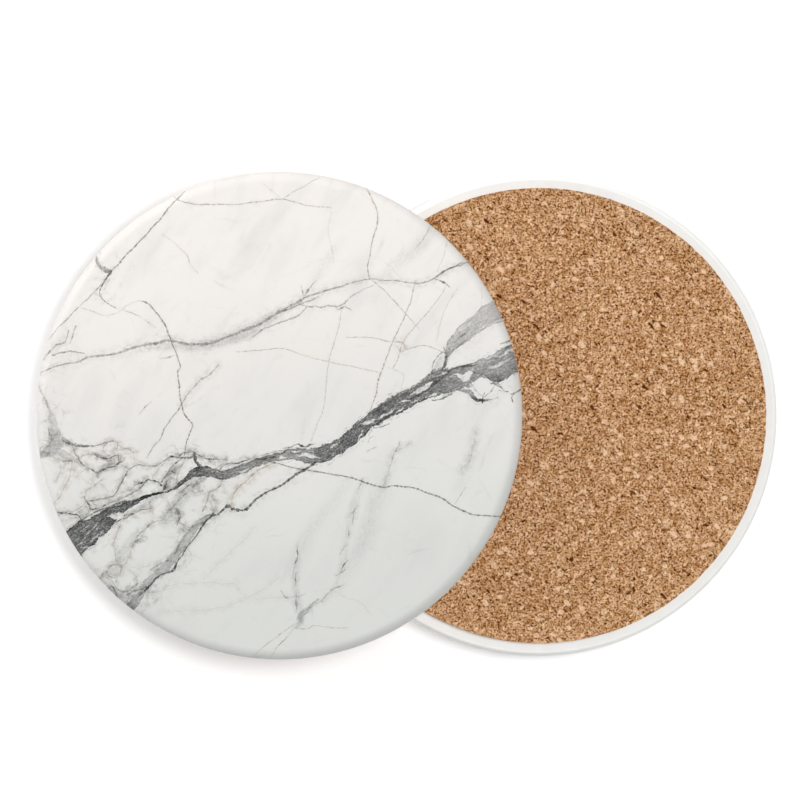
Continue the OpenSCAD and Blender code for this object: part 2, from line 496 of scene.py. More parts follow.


# %% [markdown]
# Where the marble's veins run
#
# Real marble breaks and heals: wide bands of dark mineral fill the first cracks, softer grey
# veins follow them, and late hairline cracks cut straight through everything. The print is
# drawn the way a sign painter would: each line is a row of points in millimetres from the
# middle of the face, with half the line's width at each. There are five layers of such lines,
# one to a cell.
#
# The bands come first, with the soft veils round them. A row starts with how ragged and how
# soft the edge is, and each of its points ends with how dark the band is there.

# %% Draw the bands and veils
BANDS = {
    "main_left": (0.8, 0.08, [
        (-49.3, -32.9, 2.87, 0.77), (-46.8, -30.6, 2.87, 0.79), (-43, -26.8, 2.87, 0.79),
        (-40.1, -24.5, 2.66, 0.81), (-37.8, -23.1, 2.32, 0.83), (-35.9, -21.4, 1.77, 0.87),
        (-34, -19.9, 1.22, 0.9), (-31.9, -18.9, 0.9, 0.88), (-30.6, -18.3, 0.7, 0.92),
        (-29.6, -17.8, 0.42, 1.05), (-28.3, -17.2, 0.36, 1.15), (-26.9, -16.7, 0.3, 1.35),
        (-25.8, -16.4, 0.29, 1.4), (-24.8, -16.2, 0.24, 1.35), (-24.3, -16.1, 0.15, 0.8),
        (-23.2, -15.8, 0.2, 0.8), (-22.3, -15.4, 0.23, 0.8), (-21.4, -14.9, 0.31, 0.8),
        (-20.4, -14.2, 0.42, 0.84), (-19.3, -13.5, 0.52, 0.88), (-18.2, -12.5, 0.82, 0.9),
        (-17.1, -11.8, 1.06, 0.88), (-15.2, -11.7, 1.04, 0.8), (-13.4, -12, 1.0, 0.72),
        (-11.3, -12.3, 0.96, 0.7), (-9.2, -11.7, 0.96, 0.68), (-6.9, -10.9, 0.84, 0.62),
        (-4.6, -9.9, 0.75, 0.6), (-2.1, -9.1, 0.79, 0.55),
    ]),
    "main_right": (0.8, 0.08, [
        (-2.1, -9.1, 0.79, 0.55), (0.2, -8.5, 0.96, 0.5), (2.5, -8, 1.15, 0.52), (4.6, -8.1, 1.36, 0.55),
        (6.9, -8.4, 1.5, 0.62), (9, -8.1, 1.67, 0.75), (10.9, -7.4, 1.71, 0.79), (12.7, -6.5, 1.57, 0.82),
        (14.6, -5.2, 1.46, 0.82), (16.5, -3.7, 1.5, 0.84), (18.4, -1.9, 1.5, 0.86),
        (20.3, -0.3, 1.57, 0.84), (22.3, 0.9, 1.77, 0.88), (24.6, 2.3, 1.98, 0.82),
        (26.9, 3.5, 1.98, 0.78), (29, 4.6, 1.88, 0.74), (31.3, 5.7, 2.09, 0.74), (33.4, 6.8, 2.51, 0.72),
        (35.7, 7.4, 2.61, 0.66), (38, 8.1, 2.4, 0.6), (40.3, 8.9, 2.09, 0.56), (42.6, 9.7, 1.88, 0.55),
        (44.9, 10.4, 2.19, 0.56), (47.2, 11.5, 2.4, 0.56), (49.5, 12.6, 2.4, 0.56),
        (52.2, 13.9, 2.4, 0.56),
    ]),
    "right_tip": (0.9, 0.08, [
        (41.8, 10.1, 0.63, 0.5), (43.8, 8.9, 1.04, 0.62), (45.5, 8, 1.15, 0.68), (46.8, 8.5, 1.25, 0.66),
        (48.4, 9.7, 1.25, 0.6), (50.9, 11, 1.25, 0.6),
    ]),
    "second_fill": (0.8, 0.1, [
        (-32.2, -41.2, 0.63, 0.5), (-30.9, -40, 0.94, 0.6), (-29.9, -38.7, 1.04, 0.35),
        (-28.2, -36.2, 0.96, 0.28), (-26.3, -33.9, 0.92, 0.26), (-24.2, -32.2, 0.96, 0.26),
        (-22.3, -30.1, 0.96, 0.24), (-20.5, -27.7, 0.84, 0.26), (-18.8, -25.3, 0.84, 0.24),
        (-17.3, -23.3, 0.84, 0.28), (-15.7, -21.8, 0.63, 0.35), (-14, -20.6, 0.33, 0.4),
    ]),
    "left_patch": (1.0, 0.3, [
        (-50.5, 6.8, 0.13, 0.2), (-49.3, 4.3, 0.2, 0.24), (-48, 1.4, 0.25, 0.25),
        (-47.4, -1.1, 0.84, 0.17), (-47, -3.2, 1.04, 0.18), (-46.5, -5, 1.25, 0.3),
        (-47, -6.6, 1.46, 0.31), (-48.6, -7.6, 0.84, 0.28), (-50.9, -8.7, 0.31, 0.25),
    ]),
    "left_arm": (0.7, 0.12, [
        (-45.3, -4.9, 0.46, 0.39), (-43.6, -5.7, 0.32, 0.48), (-42, -6.2, 0.23, 0.51),
        (-40.1, -6.4, 0.2, 0.5), (-38.2, -6.3, 0.16, 0.47), (-36.5, -5.7, 0.14, 0.39),
        (-35.1, -5.4, 0.13, 0.23),
    ]),
    "left_foot": (0.9, 0.3, [
        (-46.8, -7, 0.84, 0.28), (-45.1, -8, 0.84, 0.2), (-43.4, -8.9, 0.63, 0.16),
        (-41.8, -9.9, 0.42, 0.14),
    ]),
    "middle_patch": (0.9, 0.2, [
        (-38.4, -8, 0.21, 0.4), (-37, -8.7, 0.42, 0.3), (-35.5, -9.1, 0.63, 0.22),
        (-34.7, -9.7, 0.67, 0.2), (-35.9, -10.5, 0.54, 0.22), (-37.4, -11.6, 0.29, 0.35),
    ]),
    "slant_veil": (0.1, 1.4, [
        (34.7, 41.9, 0.42, 0.03), (31.7, 38.5, 0.94, 0.07), (28.6, 34.6, 1.04, 0.08),
        (25.5, 32, 0.94, 0.06), (22.1, 29.3, 0.63, 0.03),
    ]),
    "right_veil": (0.1, 2.2, [
        (43.8, 2.2, 0.42, 0.03), (41.8, -2.8, 0.73, 0.05), (40.1, -8.7, 0.73, 0.06),
        (38, -14.1, 0.63, 0.04),
    ]),
    "cell_veil": (0.8, 1.0, [
        (-17.5, -12.8, 0.63, 0.1), (-19.6, -15.8, 0.94, 0.14), (-21.7, -18.9, 1.04, 0.15),
        (-23.4, -22, 0.84, 0.1),
    ]),
    "low_veil": (0.8, 1.0, [
        (-31.1, -25.8, 0.52, 0.08), (-32.6, -28.7, 0.84, 0.13), (-33.8, -31.4, 0.94, 0.15),
        (-36.3, -33.7, 0.84, 0.13), (-38.4, -36.2, 0.84, 0.1),
    ]),
    "edge_veil": (0.9, 0.6, [
        (-27.1, -37.1, 0.63, 0.14), (-29.6, -36.6, 0.84, 0.16), (-32.6, -37.9, 1.04, 0.16),
        (-35.1, -36.6, 0.84, 0.14),
    ]),
    "under_patch": (0.9, 0.5, [
        (-18.4, -15.3, 0.17, 0.2), (-17.4, -14.5, 0.38, 0.28), (-16.4, -13.8, 0.46, 0.3),
        (-15.4, -13, 0.33, 0.3),
    ]),
    "almond": (0.3, 0.2, [(34.5, 12.4, 0.17, 0.12), (33.9, 11.3, 0.63, 0.14), (33.3, 10, 0.46, 0.16)]),
    "upper_strip": (0.8, 0.12, [
        (32.9, 9.4, 0.33, 0.4), (31.9, 8, 0.46, 0.38), (30.7, 6.8, 0.5, 0.36), (29, 5.8, 0.42, 0.4),
        (27.3, 5.2, 0.33, 0.5),
    ]),
    "right_crack": (0.9, 0.1, [
        (37.8, 5.6, 0.21, 0.38), (39, 5.4, 0.42, 0.42), (40, 5.1, 0.46, 0.42), (40.6, 4.5, 0.38, 0.51),
        (41.1, 3.9, 0.31, 0.68), (41.8, 3.4, 0.27, 0.85), (42.7, 3.3, 0.33, 0.94),
        (43.5, 3.2, 0.21, 0.77), (44.4, 3.3, 0.13, 0.59), (45.3, 3.6, 0.06, 0.42),
    ]),
    "isle_clump": (1.0, 0.2, [
        (39.4, 7, 0.25, 0.4), (40.1, 6.4, 0.55, 0.48), (40.8, 6.9, 0.37, 0.57), (41, 7.6, 0.2, 0.46),
    ]),
    "corner_patch": (1.0, 0.15, [
        (-38.3, 33.2, 0.23, 0.34), (-38, 32.2, 0.35, 0.36), (-37.2, 31.1, 0.35, 0.36),
        (-36, 30.4, 0.38, 0.44), (-35.1, 30, 0.25, 0.55), (-35.9, 28.9, 0.23, 0.45),
        (-36.7, 27.7, 0.15, 0.45),
    ]),
    "upper_right": (0.5, 0.12, [
        (33.4, 9.5, 0.46, 0.5), (34.6, 10.1, 0.31, 0.55), (35.1, 11.4, 0.29, 0.6),
        (35.3, 12.5, 0.35, 0.5), (36, 14, 0.88, 0.38), (37.3, 15.6, 1.34, 0.33), (39.3, 17.6, 1.67, 0.31),
        (41.9, 19.8, 1.82, 0.3), (43.8, 21.1, 1.96, 0.29), (45.9, 22.2, 2.05, 0.28),
        (48.4, 23.6, 2.09, 0.28),
    ]),
    "crest_fill": (0.9, 0.1, [
        (-20.5, -8.7, 0.1, 0.4), (-19.4, -8.6, 0.21, 0.5), (-18.5, -8.6, 0.25, 0.5),
        (-17.9, -8.3, 0.27, 0.6), (-17.5, -7.8, 0.25, 0.75), (-17.4, -8.5, 0.31, 0.7),
        (-17.3, -9.3, 0.31, 0.7), (-16.9, -10, 0.4, 0.75), (-16.3, -10.8, 0.5, 0.85),
    ]),
    "lower_wash": (1.0, 0.7, [
        (-29.9, -19.7, 0.25, 0.14), (-28.4, -18.6, 0.5, 0.2), (-26.9, -17.6, 0.58, 0.2),
        (-25.5, -17, 0.38, 0.18), (-24.4, -16.6, 0.17, 0.15),
    ]),
    "cell_wash": (1.0, 0.5, [
        (-21.3, -11, 0.21, 0.2), (-22, -11.8, 0.46, 0.3), (-22.7, -12.8, 0.54, 0.3),
        (-23.1, -14.1, 0.5, 0.34), (-23.4, -15.1, 0.38, 0.4),
    ]),
    "long_veil": (0.4, 0.8, [
        (-27.1, 14.3, 0.42, 0.08), (-21.1, 14.5, 0.67, 0.12), (-13.8, 15.1, 0.96, 0.16),
        (-7.3, 17, 1.13, 0.17), (-3.3, 19.3, 1.04, 0.15), (-0.6, 21, 0.67, 0.14), (2.1, 22.4, 0.42, 0.14),
        (4.2, 23.7, 0.29, 0.12),
    ]),
    "long_rise": (0.1, 1.6, [
        (6.1, 25.6, 0.25, 0.06), (7.5, 28.1, 0.5, 0.07), (9.6, 31.4, 0.67, 0.06),
        (11.3, 33.9, 0.63, 0.06), (13.2, 36.4, 0.42, 0.03),
    ]),
    "low_patch": (1.0, 0.35, [
        (7.9, -38.8, 0.17, 0.28), (7, -39.7, 0.31, 0.35), (6.2, -40.6, 0.4, 0.32),
        (5.2, -41.2, 0.54, 0.3), (4.8, -42.1, 0.69, 0.3), (4.9, -42.9, 0.67, 0.26),
        (4.3, -43.7, 0.46, 0.18),
    ]),
    "low_dash_veil": (0.1, 0.9, [
        (4.6, -26.2, 0.25, 0.05), (4, -28.7, 0.54, 0.1), (3.7, -33.5, 0.63, 0.1),
        (3.9, -38.1, 0.63, 0.12), (4.4, -40.2, 0.63, 0.12),
    ]),
    "low_dash_veil_right": (0.1, 1.0, [
        (17.5, -14.1, 0.31, 0.05), (16.1, -18.5, 0.67, 0.09), (15, -23.1, 0.54, 0.07),
        (14, -27.9, 0.54, 0.07), (13.8, -31, 0.58, 0.09), (12.5, -35.4, 0.58, 0.08),
        (9.8, -38.1, 0.46, 0.1),
    ]),
    "steep_veil": (0.1, 2.2, [
        (23.2, -11.6, 0.42, 0.05), (22.1, -14.7, 0.94, 0.08), (20, -19.5, 1.15, 0.09),
        (18.2, -25.4, 1.15, 0.09), (15.2, -31.4, 0.94, 0.06), (12.1, -36.6, 0.63, 0.04),
    ]),
    "slant_low_veil": (0.1, 2.0, [
        (15, -13.3, 0.42, 0.03), (11.7, -17.8, 0.73, 0.06), (7.9, -22.4, 0.84, 0.07),
        (4.8, -27.2, 0.73, 0.06), (1.7, -32.5, 0.63, 0.04),
    ]),
}
print("bands and veils:", len(BANDS))

# %% [markdown]
# Windows in the bands
#
# A band splits into strands, and the white stone shows between them. It is simpler to leave
# the strands as one band and to cut windows in it, drawn as short fat lines. Where a window
# opens only in part, a fourth number says how far.

# %% Draw the windows
WINDOWS = [
    [(17.8, -1.6, 0.17), (18.7, -1.4, 0.38), (19.6, -1.1, 0.35), (20.4, -0.7, 0.13)],
    [(21, -0.6, 0.1), (22.1, 0, 0.23), (23.2, 0.6, 0.23), (24.1, 1.1, 0.1)],
    [(28.2, 4.5, 0.13), (29.2, 5.1, 0.4), (30.5, 5.7, 0.48), (31.5, 6.5, 0.38), (32.2, 7, 0.13)],
    [(31.6, 4.1, 0.1), (32.5, 4.4, 0.23), (33.3, 4.6, 0.1)],
    [(33.5, 3.9, 0.1), (34.4, 4.3, 0.25), (35.4, 4.5, 0.13)],
    [(34.1, 8.5, 0.08), (34.9, 8.8, 0.19), (35.6, 9, 0.08)],
    [
        (36.6, 8.4, 0.1), (37.6, 8.7, 0.23), (38.5, 8, 0.56), (39.3, 8.1, 0.77), (40.1, 8.9, 0.54),
        (40.8, 9.7, 0.17),
    ],
    [(40.9, 5.9, 0.42), (42, 6.1, 1.46), (43.2, 6.2, 1.67), (44.4, 5.9, 1.04), (45, 5.5, 0.42)],
    [(28.2, 2.8, 0.1), (28.8, 3, 0.19), (29.4, 3.2, 0.08)],
    [(25.8, 2.9, 0.08), (26.5, 3.1, 0.15), (27.3, 3.2, 0.08)],
    [(25.3, 1, 0.15), (25.8, 1.3, 0.21), (26.3, 1.8, 0.08)],
    [(17, -4.7, 0.1), (17.5, -3.8, 0.17), (17.8, -2.9, 0.06)],
    [(4.2, -8.5, 0.1), (5.6, -8.1, 0.38), (7.1, -8.5, 0.38), (8.1, -8.7, 0.13)],
    [(2.5, -7.7, 0.08), (3.5, -7.5, 0.21), (4.6, -7.6, 0.08)],
    [(-0.2, -8.9, 0.08), (0.8, -8.7, 0.25), (1.9, -8.8, 0.1)],
    [(-35.2, -21.1, 0.25), (-34.2, -21, 0.67), (-33, -20.9, 0.67), (-31.9, -20.9, 0.33)],
    [(-36, -19.2, 0.08), (-34.9, -18.9, 0.21), (-33.6, -18.6, 0.1)],
    [(-37.4, -24.7, 0.14, 0.6), (-37, -24.4, 0.23, 0.6), (-36.5, -24.6, 0.11, 0.6)],
    [(-40.9, -27.6, 0.13, 0.6), (-40.3, -27.5, 0.21, 0.6), (-39.8, -27.2, 0.09, 0.6)],
    [(-38.9, -23.6, 0.07, 0.6), (-38.5, -23.2, 0.16, 0.6), (-38.2, -22.8, 0.05, 0.6)],
    [(-12.1, -11.3, 0.1), (-11.2, -11, 0.27), (-10.2, -10.8, 0.1)],
    [(10.9, -6.8, 0.06), (11.7, -6.3, 0.15), (12.5, -5.7, 0.06)],
    [(46.8, 12.5, 0.08), (48, 13.3, 0.25), (49.7, 14, 0.25)],
    [(-8.4, -11.8, 0.08), (-7.3, -11.5, 0.21), (-6.1, -11, 0.08)],
    [(-38.8, -25.9, 0.11, 0.6), (-38.1, -25.2, 0.23, 0.6), (-37.6, -24.5, 0.11, 0.6)],
    [(-38.4, -24.1, 0.07, 0.6), (-37.9, -23.7, 0.16, 0.6), (-37.5, -23.4, 0.07, 0.6)],
    [(-42.3, -27.2, 0.07, 0.6), (-41.5, -26.8, 0.18, 0.6), (-40.8, -26.5, 0.07, 0.6)],
    [(-40.2, -24.9, 0.05, 0.6), (-39.7, -24.4, 0.13, 0.6), (-39.2, -24.2, 0.05, 0.6)],
    [(-40.8, -23.6, 0.05, 0.6), (-40.3, -23.3, 0.11, 0.6), (-39.8, -23.1, 0.05, 0.6)],
    [(37.9, 17.7, 0.17, 0.5), (38.6, 18.3, 0.42, 0.5), (39.5, 18.8, 0.29, 0.45)],
    [(43.2, 11.9, 0.17, 0.55), (44.1, 12.2, 0.31, 0.6), (45.1, 12.6, 0.35, 0.6), (46.1, 13, 0.21, 0.5)],
    [
        (44.4, 10.1, 0.17, 0.6), (45.3, 10.2, 0.38, 0.7), (46.3, 10.6, 0.33, 0.7),
        (47.4, 11.3, 0.23, 0.6), (48.4, 11.9, 0.17, 0.5),
    ],
    [(41.3, 10.9, 0.1, 0.3), (43, 11.3, 0.21, 0.35), (44.7, 11.5, 0.17, 0.3)],
]
print("windows:", len(WINDOWS))

# %% [markdown]
# Veins
#
# The grey veins are narrower than the bands, and come and go along their length. A row starts
# with how dark and how broken the vein is, how strong its halo, and its half width. Where the
# width changes, a point gives its own. A few faint veins show only as spots. A spot is its
# middle, its reach from there, half its width and how dark it is.

# %% Draw the veins
VEINS = {
    "second_edge": (1.0, 0.0, 0.3, 0.31, [
        (-28.6, -37.1, 0.21), (-27.8, -36.3), (-26.5, -35), (-25.1, -33.6, 0.25), (-23.5, -32.9, 0.27),
        (-21.9, -32.2, 0.38), (-20.8, -30.4, 0.33), (-20, -29.1, 0.21), (-18.6, -26.7, 0.19),
        (-17.2, -25.2, 0.23), (-15.9, -23.3, 0.33), (-14.6, -21.7), (-13.6, -20.8, 0.33),
        (-12.7, -20.7, 0.27), (-11.5, -19.6, 0.35), (-10.4, -19, 0.44), (-9.4, -19.6, 0.44),
        (-7.9, -19.8, 0.38), (-6.8, -19.6, 0.38), (-5.5, -18.2, 0.33), (-3.5, -16.7), (-0.8, -15.4, 0.33),
        (1.7, -13.8, 0.38), (4, -12.3, 0.4), (6.1, -11, 0.42), (7.7, -9.7),
    ]),
    "main_upper_edge": (0.8, 0.0, 0.0, 0.27, [
        (-45.1, -24.9, 0.21), (-43.2, -23.4), (-41.1, -21.8), (-38.6, -20.3), (-36.5, -19.6, 0.25),
        (-34.4, -18.8), (-32.4, -18, 0.33), (-30.1, -17.6, 0.29),
    ]),
    "lower_dark": (0.85, 0.0, 0.0, 0.17, [
        (19.8, -1.9), (21.1, -1.3, 0.25), (22.5, -0.5, 0.27), (24, 0.2),
    ]),
    "lower_dark_b": (0.7, 0.3, 0.0, 0.1, [(20.5, -2.5, 0.17), (21.7, -2.2, 0.19), (22.8, -1.7)]),
    "lower_dark_c": (0.8, 0.0, 0.0, 0.17, [(33, 3.5), (34.4, 3.8, 0.23), (35.9, 4.4, 0.21)]),
    "middle_dark": (0.8, 0.2, 0.0, 0.21, [
        (28.2, 3.7, 0.17), (29.9, 4.4, 0.33), (31.5, 5.5, 0.29), (32.8, 6.9, 0.63), (34.2, 7.8, 0.67),
        (35.9, 9.3, 0.29), (37.2, 9.9), (39.2, 10.3, 0.38), (40.5, 10.4),
    ]),
    "almond_left": (0.55, 0.0, 0.1, 0.17, [
        (32.4, 9.5), (32.6, 10.5, 0.15), (33.1, 11.8, 0.15), (33.8, 12.7), (34.4, 13.2),
    ]),
    "stem_dark": (0.6, 0.1, 0.1, 0.21, [
        (34.8, 13.7), (35.2, 12.6, 0.23), (34.9, 11.4, 0.25), (34.6, 10.1),
    ]),
    "tip_dark": (0.7, 0.0, 0.0, 0.21, [(45.3, 6.6), (46.1, 6.7, 0.29), (46.8, 7.4)]),
    "tip_dark_b": (0.7, 0.0, 0.0, 0.19, [(49.3, 4.7), (50, 4.9, 0.29), (50.7, 5.5, 0.21)]),
    "band_tick": (0.75, 0.0, 0.0, 0.1, [(37.8, 16.1), (38.3, 16.5, 0.23), (38.9, 16.8)]),
    "upper_dots": (0.55, 0.5, 0.0, 0.13, [
        (-11.3, -10.2, 0.17), (-10, -10, 0.17), (-8.4, -9.8, 0.21), (-6.7, -9.3, 0.17),
        (-4.6, -8.7, 0.15), (-2.5, -8), (0, -7.3), (2.1, -7.1, 0.19), (3.8, -7.2),
    ]),
    "long": (0.46, 0.15, 0.36, 0.46, [
        (-49.7, 9.1, 0.17), (-45.3, 10.8, 0.25), (-41.8, 11.4, 0.29), (-39.7, 12.4, 0.25),
        (-36.1, 12.6, 0.31), (-32.6, 13.6, 0.38), (-28.6, 14.7, 0.42), (-25.3, 15.2), (-22.5, 15.6, 0.42),
        (-19.4, 15.2), (-16.5, 14.9, 0.5), (-14, 15.3), (-11.3, 16.2, 0.42), (-7.7, 17.7),
        (-4.6, 18.8, 0.5), (-1.7, 20.5), (1, 22), (3.8, 23.4, 0.42), (5.8, 24.7, 0.38), (8.6, 25.7, 0.33),
        (11.3, 26.5, 0.29), (15, 27.5, 0.21), (17.3, 28.1, 0.17), (19.6, 28.7, 0.17), (22.8, 28.3, 0.17),
        (25.9, 28.1, 0.17), (28.8, 27.6, 0.19), (32.2, 28.3, 0.25), (34.9, 30, 0.27), (37.2, 31.2, 0.25),
        (39.7, 32.2, 0.21),
    ]),
    "left_fork": (0.45, 0.1, 0.3, 0.17, [
        (-49.3, 12.2), (-46.6, 14.7, 0.25), (-44.7, 15.6, 0.23), (-44.1, 17.2, 0.21),
    ]),
    "left_fork_low": (0.5, 0.2, 0.2, 0.17, [(-46.8, 12.8, 0.21), (-43.4, 13.5, 0.27), (-41.1, 13.2)]),
    "left_tick": (0.4, 0.0, 0.2, 0.17, [(-42.8, 18.1, 0.21), (-43.4, 15.8)]),
    "cell_e": (0.3, 0.2, 0.8, 0.21, [
        (-23.6, -21), (-22.5, -19.5, 0.29), (-20.9, -19.9, 0.33), (-20.9, -22.2), (-19.2, -23.5, 0.19),
    ]),
    "cell_g": (0.25, 0.1, 0.9, 0.33, [
        (-16.7, -13.3, 0.21), (-18.8, -15.8), (-20.9, -17.8), (-22.5, -19.5, 0.25),
    ]),
    "shadow_vein": (0.35, 0.2, 0.5, 0.21, [
        (-12.9, 10.1, 0.17), (-14.2, 8.8), (-16.5, 7.2, 0.23), (-18.8, 4.7), (-20, 2.6, 0.15),
    ]),
    "steep_low": (0.16, 0.3, 0.5, 0.17, [
        (26.9, -6.2), (25.1, -7.4, 0.21), (24.2, -8.2, 0.23), (23.2, -11.8), (22.1, -14.5, 0.13),
    ]),
    "steep_mid": (0.12, 0.3, 0.6, 0.17, [
        (41.3, -3.7), (40.9, -6.4, 0.25), (40.1, -9.3, 0.29), (38.6, -11, 0.21),
    ]),
    "upper_right_edge": (0.36, 0.1, 0.25, 0.21, [
        (35.6, 12.3), (36.7, 13.4, 0.29), (38.2, 14.5, 0.38), (39.8, 15.7, 0.42), (41.3, 17, 0.4),
        (43.2, 18.2, 0.35), (45.1, 19.2, 0.33), (47, 20.1, 0.31),
    ]),
    "upper_right_tick": (0.55, 0.1, 0.3, 0.13, [(37.7, 15.9), (38.4, 16.6, 0.23), (39.1, 17.1, 0.15)]),
    "long_low": (0.44, 0.2, 0.2, 0.17, [
        (-4.8, 16.8), (-3.5, 17.7, 0.21), (-1.9, 18.6, 0.23), (0.2, 19.4, 0.23), (2.1, 20, 0.25),
        (3.5, 20.5, 0.21), (4.8, 21.4, 0.19), (5.6, 22.2), (6.1, 22.8, 0.1),
    ]),
    "long_mid": (0.5, 0.15, 0.15, 0.17, [
        (5.3, 23.1, 0.1), (6.9, 22.7), (7.9, 22.9), (9, 22.7, 0.23), (10.2, 22.9, 0.19), (11.7, 23, 0.19),
        (12.7, 22.9, 0.23), (13.5, 23.2, 0.13),
    ]),
}
SPOTS = [
    (4.05, -28.41, 0, -0.625, 0.33, 0.8), (3.82, -30.06, -0.29, -1.115, 0.27, 0.6),
    (3.3, -32.84, 0, -0.46, 0.21, 0.45), (3.86, -34.03, 0, -0.73, 0.29, 0.6),
    (3.84, -39.04, 0, -1.46, 0.38, 0.4), (13.07, -32.65, 0.435, 0.25, 0.25, 0.7),
    (13.78, -31.32, 0.525, 0.705, 0.29, 0.75), (13.82, -27.75, -0.26, -0.445, 0.29, 0.3),
    (14.82, -24.36, 0, -0.525, 0.25, 0.45), (15.68, -21.11, 0, -0.73, 0.29, 0.45),
    (15.87, -19.77, -0.56, -0.675, 0.35, 0.42), (12.48, -35.72, 0.715, 0.23, 0.29, 0.42),
    (17.45, -14.15, -0.185, -0.595, 0.25, 0.4),
]
print("veins:", len(VEINS), "and spots:", len(SPOTS))

# %% [markdown]
# Hairlines
#
# The last cracks are two or three tenths of a millimetre wide and cross everything else.
# Water has stained some of them brown. A row starts with how dark, how broken and how brown
# the line is, and with its half width, as a vein's does.

